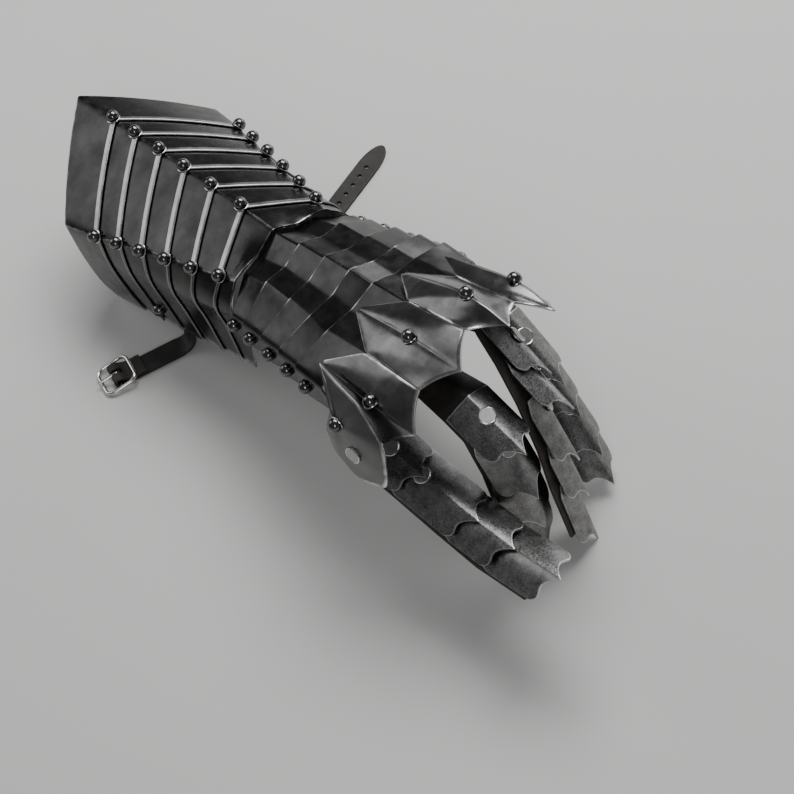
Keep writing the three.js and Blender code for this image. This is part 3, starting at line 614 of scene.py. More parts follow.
class TreeBuilder:
    """Short names for adding nodes, setting their sockets and linking them."""

    def __init__(self, tree):
        self.tree = tree
        self.given = tree.nodes.new("NodeGroupInput").outputs
        self.result = tree.nodes.new("NodeGroupOutput").inputs

    def add(self, kind, sockets=None, **settings):
        node = self.tree.nodes.new(kind)
        for key, value in settings.items():
            setattr(node, key, value)
        for label, value in (sockets or {}).items():
            self.feed(node.inputs[label], value)
        return node

    def feed(self, socket, value):
        if isinstance(value, bpy.types.NodeSocket):
            self.tree.links.new(value, socket)
        else:
            socket.default_value = value

    def maths(self, operation, a, b):
        return self.add("ShaderNodeMath", {0: a, 1: b}, operation=operation).outputs[0]

    def vector(self, z):
        return self.add("ShaderNodeCombineXYZ", {"Z": z}).outputs[0]

    def moved(self, geometry, offset):
        return self.add("GeometryNodeTransform", {"Geometry": geometry, "Translation": offset}).outputs[0]

    def painted(self, geometry, material):
        return self.add("GeometryNodeSetMaterial", {"Geometry": geometry, "Material": material}).outputs[0]

    def ring(self, radius, wire):
        path = self.add("GeometryNodeCurvePrimitiveCircle", {"Resolution": 28, "Radius": radius}).outputs[0]
        section = self.add("GeometryNodeCurvePrimitiveCircle", {"Resolution": 8, "Radius": wire}).outputs[0]
        return self.add("GeometryNodeCurveToMesh", {"Curve": path, "Profile Curve": section}).outputs[0]

    def joined(self, *parts):
        node = self.add("GeometryNodeJoinGeometry")
        for part in parts:
            self.tree.links.new(part, node.inputs[0])
        return node.outputs[0]

    def set_out(self, head):
        """Stand the head on every point, its Z along the point's axis attribute."""
        axis = self.add("GeometryNodeInputNamedAttribute", {"Name": "axis"}, data_type="FLOAT_VECTOR")
        turn = self.add("FunctionNodeAlignRotationToVector", {"Vector": axis.outputs[0]}, axis="Z")
        points = self.add("GeometryNodeMeshToPoints", {"Mesh": self.given["Geometry"]}).outputs[0]
        placed = self.add("GeometryNodeInstanceOnPoints",
                          {"Points": points, "Instance": head, "Rotation": turn.outputs[0]})
        real = self.add("GeometryNodeRealizeInstances", {"Geometry": placed.outputs[0]}).outputs[0]
        smooth = self.add("GeometryNodeSetShadeSmooth", {"Geometry": real}).outputs[0]
        self.tree.links.new(smooth, self.result["Geometry"])


def dome_tree():
    """A near-round head on a thin bright bead."""
    tree = new_tree("dome rivet", {"Head Radius": DOME_R * MM, "Lift": DOME_LIFT * MM,
                                   "Bead Wire": BEAD_WIRE * MM, "Bead Drop": BEAD_DROP * MM})
    build = TreeBuilder(tree)
    given = build.given
    ball = build.add("GeometryNodeMeshUVSphere",
                     {"Segments": 28, "Rings": 16, "Radius": given["Head Radius"]}).outputs[0]
    ball = build.painted(build.moved(ball, build.vector(given["Lift"])), DOME_METAL)
    bead = build.ring(build.maths("SUBTRACT", given["Head Radius"], BEAD_INSET * MM), given["Bead Wire"])
    low = build.maths("MULTIPLY", given["Bead Drop"], -1.0)
    bead = build.painted(build.moved(bead, build.vector(low)), BEAD_METAL)
    build.set_out(build.joined(ball, bead))
    return tree


def disc_tree():
    """A flat head with a rounded bright rim."""
    tree = new_tree("disc rivet", {"Head Radius": DISC_R * MM, "Head Height": DISC_HIGH * MM,
                                   "Rim Wire": DISC_WIRE * MM})
    build = TreeBuilder(tree)
    given = build.given
    depth = build.maths("ADD", given["Head Height"], DISC_SUNK * MM)
    face = build.add("GeometryNodeMeshCylinder",
                     {"Vertices": 32, "Radius": given["Head Radius"], "Depth": depth}).outputs[0]
    low = build.maths("MULTIPLY", build.maths("SUBTRACT", given["Head Height"], DISC_SUNK * MM), 0.5)
    face = build.painted(build.moved(face, build.vector(low)), DISC_METAL)
    rim = build.ring(build.maths("SUBTRACT", given["Head Radius"], DISC_RIM_INSET * MM), given["Rim Wire"])
    high = build.maths("SUBTRACT", given["Head Height"], DISC_RIM_DOWN * MM)
    rim = build.painted(build.moved(rim, build.vector(high)), BEAD_METAL)
    build.set_out(build.joined(face, rim))
    return tree


TREES = {"dome": dome_tree(), "disc": disc_tree()}


def rivets(name, kind, seats, body):
    """One mesh of rivet heads for a body; seats are (foot, axis) pairs in the wearer's mm."""
    mesh = bpy.data.meshes.new(name)
    mesh.from_pydata([WEARER @ foot for foot, _ in seats], [], [])
    turn = WEARER.to_3x3()
    layer = mesh.attributes.new("axis", "FLOAT_VECTOR", "POINT")
    for value, (_, axis) in zip(layer.data, seats):
        value.vector = (turn @ axis).normalized()
    piece = link(mesh, name)
    piece.modifiers.new("rivets", "NODES").node_group = TREES[kind]
    applied(piece)
    piece.data.set_sharp_from_angle(angle=math.radians(RIVET_ANGLE))
    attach(piece, body)


# ---- cuff -------------------------------------------------------------------------------------------

def cuff_keys(s):
    """Hem, low, high, ridge and crest of the thumb-side half section at station s."""
    last = len(CUFF_STATIONS) - 1
    at = min(max(int(s), 0), last - 1)
    near, far = CUFF_STATIONS[at], CUFF_STATIONS[at + 1]
    top, side, hem = ([mix(a, b, s - at) for a, b in zip(near[part], far[part])]
                      for part in ("top", "side", "hem"))
    keys = [Vector((hem[0], -hem[1], hem[2]))]
    for part in ("low", "high"):
        y, z = (mix(a, b, s / last) for a, b in zip(FLANK_REAR[part], FLANK_WRIST[part]))
        x = mix(hem[0], side[0], (z - hem[2]) / (side[2] - hem[2]))
        keys.append(Vector((x, -y, z)))
    return keys + [Vector((side[0], -side[1], side[2])), Vector((top[0], 0, top[1]))]


FLANK_POINTS = 13
FACE_POINTS = 15
# A section's three ridges as it is drawn, and the span between the side ridges once each ridge is
# pressed round and has three points.
RIDGE_COLUMNS = {FLANK_POINTS - 1, FLANK_POINTS + FACE_POINTS - 2, FLANK_POINTS + 2 * FACE_POINTS - 3}
FACE_COLUMNS = (FLANK_POINTS - 1, FLANK_POINTS + 2 * FACE_POINTS + 3)


def cuff_section(s, inset=0.0, tab=False):
    """Dense section from hem to hem, drawn in by `inset`, its three ridges pressed round."""
    keys = cuff_keys(s)
    flank = spline(keys[:4], FLANK_POINTS)
    if tab:
        for point in flank:
            point.x = piecewise(WRIST_TAB, point.z)
    ridge, crest = keys[3], keys[4]
    out = Vector((0, ridge.z - crest.z, -ridge.y)).normalized()
    face = []
    bulge = UPPER_BULGE * (1 - s / (len(CUFF_STATIONS) - 1))
    for i in range(1, FACE_POINTS):
        t = i / (FACE_POINTS - 1)
        face.append(ridge.lerp(crest, t) + out * (4 * t * (1 - t) * bulge))
    half = flank + face
    line = half + [mirrored(point) for point in reversed(half[:-1])]
    if inset:
        line = inset_line(line, inset)
    return softened(line, RIDGE_COLUMNS, RIDGE_SOFT)


def inset_line(line, distance):
    """The section moved square to itself, towards the arm."""
    squares = [Vector((0, a.z - b.z, b.y - a.y)).normalized() for a, b in zip(line, line[1:])]
    result = []
    for i, point in enumerate(line):
        before, after = squares[max(i - 1, 0)], squares[min(i, len(squares) - 1)]
        mitre = (before + after).normalized()
        result.append(point - mitre * (distance / mitre.dot(before)))
    return result


def outward_of(rows, r, c):
    """The way out of a grid's skin at one of its points."""
    along = rows[min(r + 1, len(rows) - 1)][c] - rows[max(r - 1, 0)][c]
    across = rows[r][min(c + 1, len(rows[0]) - 1)] - rows[r][max(c - 1, 0)]
    return along.cross(across).normalized()


BODY_SHARES = [0, 0.02, 0.06] + [k / 8 for k in range(1, 7)]
BAND_STEPS = [0, 0.3, 0.7, 1.5, 2.3, 3.2, 3.9, 4.3, 4.6, 4.9]  # rows behind the front edge


def raise_band(rows):
    """Lift the border along the front, roll its edge down, and mark where it is painted lighter as a
    highlight.
    """
    marks = [[0.0] * len(row) for row in rows]
    lifts = {}
    for r in range(len(BODY_SHARES), len(rows)):
        ahead = BAND_STEPS[len(rows) - 1 - r]
        roll = (BAND_HIGH + EDGE_ROLL) * max(0, 1 - ahead / ROLL_WIDE) ** 2
        for c in range(len(rows[r])):
            wide = BAND_WIDE if FACE_COLUMNS[0] <= c <= FACE_COLUMNS[1] else FLANK_BAND
            rise = BAND_HIGH * min(1, max(0, wide - ahead) / BAND_SHOULDER)
            lifts[r, c] = outward_of(rows, r, c) * (rise - roll)
            marks[r][c] = wide / BAND_WIDE if ahead < wide else 0.0
    for (r, c), lift in lifts.items():
        rows[r][c] = rows[r][c] + lift
    return marks


def cuff_lame(number):
    """One lame, tucked under the lame before it and laid over the next."""
    last = len(CUFF_STATIONS) - 1
    first = number == 1
    wrist = number == last
    rear = cuff_section(0 if first else number - 1 - SEAM_TAIL, 0 if first else LAP_INSET)
    front = cuff_section(number if wrist else number + SEAM_LEAD, 0, wrist)
    rows = [blend_rows(rear, front, share) for share in BODY_SHARES]
    for ahead in reversed(BAND_STEPS):
        rows.append([b + (a - b).normalized() * ahead for a, b in zip(rear, front)])
    band_highlights = None
    if wrist:
        hug_hand(rows)
    else:
        band_highlights = raise_band(rows)
    rims = rim_marks(rows, STEEL_RIM, (first, wrist, True, True))
    # the rubbed rim, with the painted highlight along the ridges laid over it
    rims = [[max(pair) for pair in zip(*lines)] for lines in zip(rims, crease_highlights(rows))]
    piece = plate(f"cuff_lame_{number}_plate", rows, DARK_STEEL, rims, band_highlights=band_highlights)
    handed_over(piece, "cuff", f"cuff_lame_{number}")


def hug_hand(rows):
    """Dress the wrist plate's front edge down into the two valleys of the hand."""
    crest = len(rows[0]) // 2
    long = (rows[-1][crest] - rows[0][crest]).length
    for row in rows:
        share = 1 - (row[crest] - rows[-1][crest]).length / long
        for point in row:
            if point.z > WRIST_VALLEY["above"]:
                depth = math.exp(-((abs(point.y) - WRIST_VALLEY["y"]) / WRIST_VALLEY["wide"]) ** 2)
                point.z -= WRIST_VALLEY["deep"] * depth * share ** WRIST_VALLEY["power"]


def crease_highlights(rows):
    """A softer painted highlight along the pressed ridges, where they catch the light."""
    centres = sorted(column + 2 * i + 1 for i, column in enumerate(sorted(RIDGE_COLUMNS)))
    return [[CREASE_HIGHLIGHT * math.exp(-min((point - row[k]).length for k in centres) / CREASE_HIGHLIGHT_WIDE)
             for point in row] for row in rows]


def seam_seats(n):
    """Foot and axis of the three rivets of seam n, square to their ridges."""
    def ridges(s):
        keys = cuff_keys(s)
        return [keys[3], keys[4], mirrored(keys[3])], keys
    behind, _ = ridges(n - 0.5)
    ahead, _ = ridges(n + 0.5)
    here, keys = ridges(n)
    flank = (keys[3] - keys[2]).normalized()
    face = (keys[4] - keys[3]).normalized()
    fall = Vector((-face.x, face.y, -face.z))
    down = Vector((-flank.x, flank.y, -flank.z))
    arounds = [flank + face, face + fall, fall + down]
    return [(foot, (b - a).cross(around).normalized())
            for foot, a, b, around in zip(here, behind, ahead, arounds)]


STRAP_STATION = 2.38
STRAP_UP = 14
STRAP_LAME = 3


def strap_seat():
    """Where the strap rivets stand on the thumb side: skin, foot, way down, outward."""
    hem, low = cuff_keys(STRAP_STATION)[:2]
    ahead = (cuff_keys(STRAP_STATION + 0.5)[0] - hem).normalized()
    down = (hem - low).normalized()
    outward = down.cross(ahead).normalized()
    skin = hem - down * STRAP_UP
    sunk = LAP_INSET * (STRAP_LAME + SEAM_LEAD - STRAP_STATION) / (1 + SEAM_LEAD + SEAM_TAIL)
    return {"skin": skin, "foot": skin - outward * sunk, "down": down, "outward": outward}


def build_cuff():
    for number in range(1, len(CUFF_STATIONS)):
        cuff_lame(number)
    seats = [seat for n in range(1, len(CUFF_STATIONS) - 1) for seat in seam_seats(n)]
    seat = strap_seat()
    seats.append((seat["foot"], seat["outward"]))
    seats.append((mirrored(seat["foot"]), mirrored(seat["outward"])))
    rivets("cuff_rivets", "dome", seats, "cuff")


# ---- hand -------------------------------------------------------------------------------------------

def hand_edge(lame, tab_x, bend_x, base, top, hinge_z, outer, valley, ridge):
    """Keys of the thumb-side half of a lame's edge, from the tab's base up to the middle ridge."""
    y = -(TAB_Y + lame * TAB_STEP)
    bend = Vector((bend_x, y, top))
    return [Vector((tab_x, y, base)), Vector((tab_x, y, hinge_z + TAB_KEY_UP)), bend,
            outer.lerp(bend, 0.5), outer, valley, ridge]


def hand_keys(index):
    edge = HAND_EDGES[index]
    return mirrored(Vector(edge["outer"])), mirrored(Vector(edge["valley"])), Vector(edge["ridge"])


def hand_rear(lame):
    x, z = HINGES[lame]
    return hand_edge(lame, x - TAB_BACK, x + BEND_AHEAD[lame], TAB_BASE[lame], TAB_TOP[lame], z,
                     *hand_keys(lame))


UPPER_KEYS = (4, 5, 6)  # outer, valley and ridge


def hand_front(lame):
    """The front edge, tucked under the next lame's rear edge."""
    if lame == len(HINGES) - 1:
        return hand_edge(lame, LAST_TAB["tab_x"], LAST_TAB["bend_x"], LAST_TAB["base"], LAST_TAB["top"],
                         LAST_TAB["hinge_z"], *hand_keys(lame + 1))
    rear = hand_rear(lame)
    following = hand_rear(lame + 1)
    x, z = HINGES[lame + 1]
    ends = []
    for column in UPPER_KEYS:
        under = following[column] - Vector((0, 0, HAND_DROP))
        ends.append(under + (under - rear[column]).normalized() * HAND_LAP)
    return hand_edge(lame, x + TAB_AHEAD, x + TAB_AHEAD, TAB_BASE[lame + 1] + FRONT_BASE_UP,
                     TAB_TOP[lame + 1] - FRONT_TOP_DOWN, z, *ends)


HAND_SHARES = [0, 0.012, 0.03, 0.06, 0.1] + [k / 8 for k in range(1, 8)] + [0.95, 0.98, 1]
BEND_STEP = 9  # points that soft_path spends on each inner key
BEND_FIRST = 7 + 3 * BEND_STEP  # the outer ridge's
BEND_COUNT = 5  # two outer ridges, two valleys and the middle ridge


def hand_line(half):
    keys = half + [mirrored(point) for point in reversed(half[:-1])]
    return soft_path(keys, HAND_SOFT + [HAND_CREST_SOFT] + HAND_SOFT[::-1])


def hand_lame(lame):
    """Build a lame and, but for the last one, its two rivets; the seats of the two are returned."""
    rear = hand_line(hand_rear(lame))
    front = hand_line(hand_front(lame))
    last = lame == len(HINGES) - 1
    rows = [blend_rows(rear, front, share) for share in HAND_SHARES]
    round_tabs(rows)
    rims = []
    # the rubbed edge, painted brighter at the ridges and valleys as a highlight
    for row, marks in zip(rows, rim_marks(rows, STEEL_RIM, (True, last, True, True))):
        rims.append([mark * weight for mark, weight in zip(marks, edge_wear_and_highlight(row))])
    name = f"hand_lame_{lame + 1}"
    body = f"hand_{lame + 1}"
    piece = plate(f"{name}_plate", rows, DARK_STEEL, rims)
    handed_over(piece, body, name)
    x, z = HINGES[lame]
    y = TAB_Y + lame * TAB_STEP
    seats = [(Vector((x, side * y, z)), Vector((0, side, 0))) for side in (-1, 1)]
    if not last:
        rivets(f"{body}_rivets", "dome", seats, body)
    return seats


def edge_wear_and_highlight(row):
    """How much of a lame's rubbed edge shows: 1 at its ridges and valleys, where it is painted brighter as a
    highlight, and less between them.
    """
    bends = [row[BEND_FIRST + BEND_STEP * i] for i in range(BEND_COUNT)]
    near = [min((point - bend).length for bend in bends) / BEND_HIGHLIGHT_WIDE for point in row]
    return [FLAT_SHINE + BEND_HIGHLIGHT * math.exp(-away ** 2) for away in near]


def round_tabs(rows):
    """Round off the lower corners of the side tabs."""
    for column in (0, -1):
        for r, row in enumerate(rows):
            share = r / (len(rows) - 1)
            row[column] = row[column] + Vector((0, 0, TAB_ROUND * abs(2 * share - 1) ** 4))


# ---- knuckle caps -----------------------------------------------------------------------------------

CAP_LONG = 26
CAP_WIDE = 13


def cap_half(cap, side):
    """Grid of one side of a cap: rows from the rear point to the rim, columns out from the ridge."""
    i = 0 if side < 0 else 1
    shift = Vector((0, -side * CAP_GAP / 2, 0))
    back, boss, corner = (Vector(cap[part]) for part in ("back", "boss", "corner"))
    edge_keys = [back] + ([Vector(cap["shoulders"][i]) + shift] if cap["shoulders"][i] else [])
    edge_keys.append(Vector(cap["rims"][i]) + shift)
    ridge = spline([back, boss, corner], CAP_LONG)
    edge = polyline(edge_keys, CAP_LONG)
    inwards = (back - corner).normalized()
    rows = []
    for r in range(CAP_LONG):
        u = r / (CAP_LONG - 1)
        row = []
        for c in range(CAP_WIDE):
            v = c / (CAP_WIDE - 1)
            hollow = inwards * (SCALLOP * 4 * v * (1 - v) * u ** 3)
            row.append(ridge[r].lerp(edge[r], v) + hollow)
        rows.append(row)
    return rows


def polyline(keys, count):
    """Points spread evenly by length along straight stretches."""
    lengths = [(b - a).length for a, b in zip(keys, keys[1:])]
    total = sum(lengths)
    points = []
    for i in range(count):
        along = total * i / (count - 1)
        k = 0
        while k < len(lengths) - 1 and along > lengths[k]:
            along -= lengths[k]
            k += 1
        points.append(keys[k].lerp(keys[k + 1], min(along / lengths[k], 1)))
    return points


HAIR = 1e-4  # keeps the three points of a rounded ridge apart where a row shrinks to nothing
BOSS_AXIS = (-0.1, 0, 1)


def knuckle_cap(name, cap):
    """Build a cap; the seat of its dome rivet is returned."""
    rows = []
    for left, right in zip(cap_half(cap, -1), cap_half(cap, 1)):
        line = left[::-1] + right[1:]
        step = (left[0] - left[1]).length
        wide = (line[0] - line[-1]).length > CAP_NARROW
        rows.append(softened(line, {CAP_WIDE - 1}, min(CAP_SOFT, step * 0.8) if wide else step * 0.5 + HAIR))
    rows = swell(rows, CAP_SWELL)
    rims = rim_marks(rows, STEEL_RIM, (False, True, True, True))
    piece = plate(f"{name}_cap_plate", rows[1:], CAP_STEEL, rims[1:])
    handed_over(piece, "hand_5", f"knuckle_cap_{name}")
    return Vector(cap["boss"]), Vector(BOSS_AXIS)


def swell(rows, height):
    """Lift the middle of each side of a cap a little, as hammered plate does."""
    long = len(rows)
    wide = len(rows[0])
    lifts = []
    for r in range(long):
        u = r / (long - 1)
        line = []
        for c in range(wide):
            v = abs(2 * c / (wide - 1) - 1)
            line.append(outward_of(rows, r, c) * height * 4 * v * (1 - v) * math.sin(math.pi * u))
        lifts.append(line)
    return [[a + b for a, b in zip(row, line)] for row, line in zip(rows, lifts)]


# ---- finger plates ----------------------------------------------------------------------------------

class PlateFrame:
    """The middle of a plate's rear edge, with the ways forward, across and outward from it."""

    def __init__(self, origin, forward, outward):
        self.origin = origin
        self.forward = forward.normalized()
        self.across = outward.cross(self.forward).normalized()
        self.outward = self.forward.cross(self.across)

    def at(self, ahead, aside, up):
        return self.origin + self.forward * ahead + self.across * aside + self.outward * up


def side_drop(t):
    return FINGER_ARCH * abs(t) ** ARCH_POWER


def front_reach(t):
    """Length of the front edge ahead of the straight sides: two round lobes and a sharp tongue."""
    away = abs(t)
    lobe = LOBE_REACH * math.sqrt(max(0, 1 - (max(0, away - LOBE_AT) / (1 - LOBE_AT)) ** 2))
    sweep = SWEEP_DEPTH * math.sin(math.pi * max(0, 1 - away / LOBE_AT))
    spike = (TONGUE - LOBE_REACH) * max(0, 1 - away / SPIKE_WIDE) ** SPIKE_POWER
    return lobe - sweep + spike


def plate_run(long):
    """How far ahead of a plate's rear edge the next one starts."""
    return long - TONGUE - SIDE_LAP


def finger_frames(finger):
    """Where each plate starts: ahead of the last one's start and below its skin."""
    frames = []
    origin = Vector(finger["start"])
    for pitch, long, drop, *_ in finger["plates"]:
        turn = math.radians(pitch)
        forward = Vector((math.cos(turn), 0, math.sin(turn)))
        outward = Vector((-forward.z, 0, forward.x))
        outward.rotate(Matrix.Rotation(math.radians(-finger["roll"]), 3, forward))
        place = PlateFrame(origin, forward, outward)
        frames.append(place)
        origin = place.at(plate_run(long), 0, -drop)
    return frames


ACROSS_HALF = [0, 0.03, 0.07, 0.12, 0.18, 0.26, 0.35, 0.45, 0.55, 0.65, 0.74, 0.8,
               0.85, 0.9, 0.94, 0.97, 0.988, 0.997, 1]  # denser at the point and the round corners
ACROSS_STEPS = [-t for t in reversed(ACROSS_HALF[1:])] + ACROSS_HALF
PLATE_SHARES = [0, 0.015, 0.04, 0.1, 0.2, 0.3, 0.42, 0.54, 0.66, 0.78, 0.88, 0.95, 0.985, 1]


def finger_plate(name, finger, index, place):
    """Build a plate at its PlateFrame; the seat of its flat rivet is returned."""
    _, long, _, *rivet_at = finger["plates"][index]
    rows = []
    for share in PLATE_SHARES:
        row = []
        for t in ACROSS_STEPS:
            ahead = share * (long - TONGUE + front_reach(t))
            narrow = 1 if index == 0 else mix(REAR_NARROW, 1, min(1, ahead / REAR_OVER))
            row.append(place.at(ahead, t * narrow * finger["width"] / 2, -side_drop(t * narrow)))
        rows.append(row)
    node = f"{name}_plate_{index + 1}"
    piece = plate(f"{node}_steel", rows, PLATE_STEEL, rim_marks(rows, PLATE_RIM), edge=PLATE_EDGE)
    handed_over(piece, "hand_5", node)
    ahead = min(rivet_at[0] if rivet_at else RIVET_AT, plate_run(long) - RIVET_ROOM)
    return place.at(ahead, 0, 0), place.outward


LEATHER_STEPS = 8  # across each half
LEATHER_ROWS = 6  # along each stretch


def leather_row(place, finger, ahead, narrow=1.0):
    """A line of the leather's outer face, a little wider than the plates over it."""
    half = finger["width"] / 2
    edge = (half + LEATHER_MARGIN) / half
    row = []
    for k in range(-LEATHER_STEPS, LEATHER_STEPS + 1):
        t = k / LEATHER_STEPS * edge * narrow
        row.append(place.at(ahead, t * half, -LEATHER_DOWN - side_drop(t)))
    return row


def finger_leather(name, finger, frames):
    """One strip under all of a finger's plates, from its root inside the last lame."""
    origin = Vector(LEATHER_ROOTS[name])
    root = PlateFrame(origin, frames[0].origin - origin, frames[0].outward)
    keys = [leather_row(root, finger, 0, ROOT_WIDTH)]
    keys += [leather_row(place, finger, -LEATHER_BACK) for place in frames]
    last_long = finger["plates"][-1][1]
    keys.append(leather_row(frames[-1], finger, last_long - TONGUE - LEATHER_SHORT))
    rows = []
    for a, b in zip(keys, keys[1:]):
        rows += [blend_rows(a, b, k / LEATHER_ROWS) for k in range(LEATHER_ROWS)]
    rows.append(keys[-1])
    piece = plate(f"{name}_leather_strip", rows, BLACK_LEATHER, rim_marks(rows, PLATE_RIM),
                  LEATHER, LEATHER_EDGE)
    handed_over(piece, "hand_5", f"{name}_leather")


def build_fingers():
    seats = []
    for name, finger in FINGERS.items():
        frames = finger_frames(finger)
        for index, place in enumerate(frames):
            seats.append(finger_plate(name, finger, index, place))
        finger_leather(name, finger, frames)
    return seats


# ---- thumb base plate ---------------------------------------------------------------------------------

def thumb_rings():
    """A domed leaf: rings from the crest out to an outline with soft and sharp corners."""
    outline = [Vector(point) for point in THUMB_OUTLINE]
    crest = Vector(THUMB_CREST)
    around = soft_path(outline + outline[:1], THUMB_CORNERS)
    centre = sum(outline, Vector()) / len(outline)
    base = crest + (centre - crest).project(Vector((0, 1, 0)))
    rows = []
    for r in range(THUMB_RINGS + 1):
        share = r / THUMB_RINGS
        rows.append([base.lerp(point, share) + (crest - base) * (1 - share ** 2) for point in around])
    return rows


def build_thumb():
    """Build the leaf; the seat of its dome rivet is returned."""
    rows = thumb_rings()
    rims = []
    for row in rows:
        rims.append([math.exp(-(point - end).length / THUMB_RIM) for point, end in zip(row, rows[-1])])
    mesh = grid_mesh("thumb_base", rows, {"rim": rims})
    work = bmesh.new()
    work.from_mesh(mesh)
    bmesh.ops.remove_doubles(work, verts=work.verts, dist=HAIR)
    bmesh.ops.recalc_face_normals(work, faces=work.faces)
    facing = sum((face.normal * face.calc_area() for face in work.faces), Vector())
    if facing.y > 0:
        bmesh.ops.reverse_faces(work, faces=work.faces)
    work.to_mesh(mesh)
    work.free()
    mesh.transform(WEARER)
    mesh.materials.append(BASE_STEEL)
    piece = link(mesh, "thumb_base_leaf")
    thickened(piece, WALL, THUMB_EDGE)
    handed_over(piece, "hand_5", "thumb_base_plate")
    return Vector(THUMB_CREST), Vector((0, -1, 0))


def build_hand():
    """All that is past the cuff; what the last lame carries shares its two meshes of rivets."""
    for lame in range(len(HINGES)):
        domes = hand_lame(lame)
    for name, cap in CAPS.items():
        domes.append(knuckle_cap(name, cap))
    domes.append(build_thumb())
    rivets("hand_rivets", "dome", domes, "hand_5")
    discs = build_fingers()
    discs.append((Vector(THUMB_DISC["foot"]), Vector(THUMB_DISC["axis"])))
    rivets("plate_rivets", "disc", discs, "hand_5")


# ---- straps and buckle ----------------------------------------------------------------------------------

STRAP_HALF = 8
STRAP_THICK = 2
STRAP_END = 9
STRAP_LEAN = 20
STRAP_DEPTH = 4.3  # of the riveted end under the cuff's outer skin
FLOOR_AIR = 0.1
STRAP_HEADING = math.radians(16)
STRAP_RUN = 44
BAR_HEIGHT = 4.2
FOLD_R = 2.1
FOLD_DIP = -8.5
FOLD_END = -19
FOLD_AIR = 0.5
FOLD_FALL = ((-1.5, 0.9), (-3.2, 0.62), (-5, 0.33), (-6.8, 0.1))  # how far ahead, and share of the height
SLOT = {"along": (-4.5, 7), "across": (-2.1, 2.1), "up": (-9, 9)}  # for the prong
HEM_REACH = 3  # of the strap's straight end below the hem
LEAVE_PULL = 10  # how stiffly the strap keeps its way as it leaves the hem and as it lands
LAND_PULL = 12
STRAP_FIFTHS = (-5, -4.7, -4, -2.5, -1, 0, 1, 2.5, 4, 4.7, 5)  # of the half width
END_ROWS = 6
CURVE_ROWS = 14
FLAT_ROWS = 8
FOLD_ROWS = 6  # in each quarter turn round the bar
STRAP_HOLE_R = 1.9
POST_LONG = 12  # of the cutters for round holes
BUCKLE_LONG = 25
BUCKLE_WIDE = 26
BUCKLE_WIRE = 2.6
BUCKLE_CORNER = 5.2
CORNER_STEPS = 8
BUCKLE_TILT = math.radians(12)
BAR_R = 0.95
PRONG_LOOP = {"radius": 2.5, "from": 62.4, "step": 24.48, "count": 8, "wire": 0.62}
# The arm's points: how far ahead of the bar, how far above it, and the wire's radius.
PRONG_ARM = ((1.3, 2.45, 0.9), (3.5, 1.75, 1.1), (7, 0.85, 1.1), (11, 0.45, 1.0), (13.9, 0.1, 0.6))
TONGUE_RUN = 95
TONGUE_ROWS = 11
TAPER_FROM = 74
TAPER_ROWS = 12
TAPER_TURN = math.radians(84)  # of the quarter circle that gives the tongue its outline
HOLES = 6
FIRST_HOLE = 22
HOLE_PITCH = 9
HOLE_R = 1.6

HEADING = Vector((-math.sin(STRAP_HEADING), -math.cos(STRAP_HEADING), 0))
ACROSS = Vector((-HEADING.y, HEADING.x, 0))


def bar_place():
    """The buckle's bar, which is the prong's hinge, in row-frame mm."""
    joint = next(joint for joint in frame["joints"] if joint["name"] == "prong_swing")
    return Vector(joint["pos_m"]) / MM


BAR = bar_place()
ROW_MM = Matrix.Scale(MM, 4)


def at_bar(ahead, aside, up):
    """A point beside the buckle's bar, in row-frame mm."""
    return BAR + HEADING * ahead + ACROSS * aside + Vector((0, 0, up))


def on_floor(ahead, height):
    """A point of the strap's middle line, at a height above the floor."""
    return at_bar(ahead, 0, height - BAR_HEIGHT)


def strap_leg():
    """Rows of the thumb-side strap from its riveted end to where it lands on the surface."""
    seat = strap_seat()
    turn = WEARER.to_3x3() * (1 / MM)
    outward = (turn @ seat["outward"]).normalized()
    down = (turn @ seat["down"]).normalized()
    down.rotate(Matrix.Rotation(math.radians(STRAP_LEAN), 3, outward))
    side = outward.cross(down).normalized()
    foot = (WEARER @ seat["skin"]) / MM - outward * STRAP_DEPTH
    hem = foot + down * (STRAP_UP + HEM_REACH)
    landing = on_floor(-STRAP_RUN, STRAP_THICK + FLOOR_AIR)
    leaving = hem + down * LEAVE_PULL
    nearing = landing - HEADING * LAND_PULL
    end = foot - down * STRAP_END
    rows = [strap_row(end.lerp(hem, k / END_ROWS), side) for k in range(END_ROWS)]
    for k in range(CURVE_ROWS + 1):
        t = k / CURVE_ROWS
        middle = (hem * (1 - t) ** 3 + leaving * 3 * t * (1 - t) ** 2 + nearing * 3 * t * t * (1 - t)
                  + landing * t ** 3)
        rows.append(strap_row(middle, side.lerp(ACROSS, t).normalized()))
    return rows, foot, outward


def strap_row(middle, side, half=STRAP_HALF):
    """A line across a strap's upper face, denser at its edges."""
    return [middle + side * (half * k / 5) for k in STRAP_FIFTHS]


def cut(piece, cutters):
    """Cut each cutter's shape out of the piece, and take the cutters away."""
    for cutter in cutters:
        hole = piece.modifiers.new("cut", "BOOLEAN")
        hole.object = cutter
        hole.operation = "DIFFERENCE"
        hole.solver = "EXACT"
    applied(piece)
    for cutter in cutters:
        bpy.data.objects.remove(cutter)
    shaded(piece.data, CUT_ANGLE)


def post(place, axis, radius):
    """Round cutter through a place, in row-frame mm."""
    mesh = bpy.data.meshes.new("post")
    work = bmesh.new()
    bmesh.ops.create_cone(work, cap_ends=True, segments=24, radius1=radius, radius2=radius,
                          depth=POST_LONG)
    work.to_mesh(mesh)
    work.free()
    turn = axis.to_track_quat("Z", "Y").to_matrix().to_4x4()
    mesh.transform(ROW_MM @ Matrix.Translation(place) @ turn)
    return link(mesh, "post")


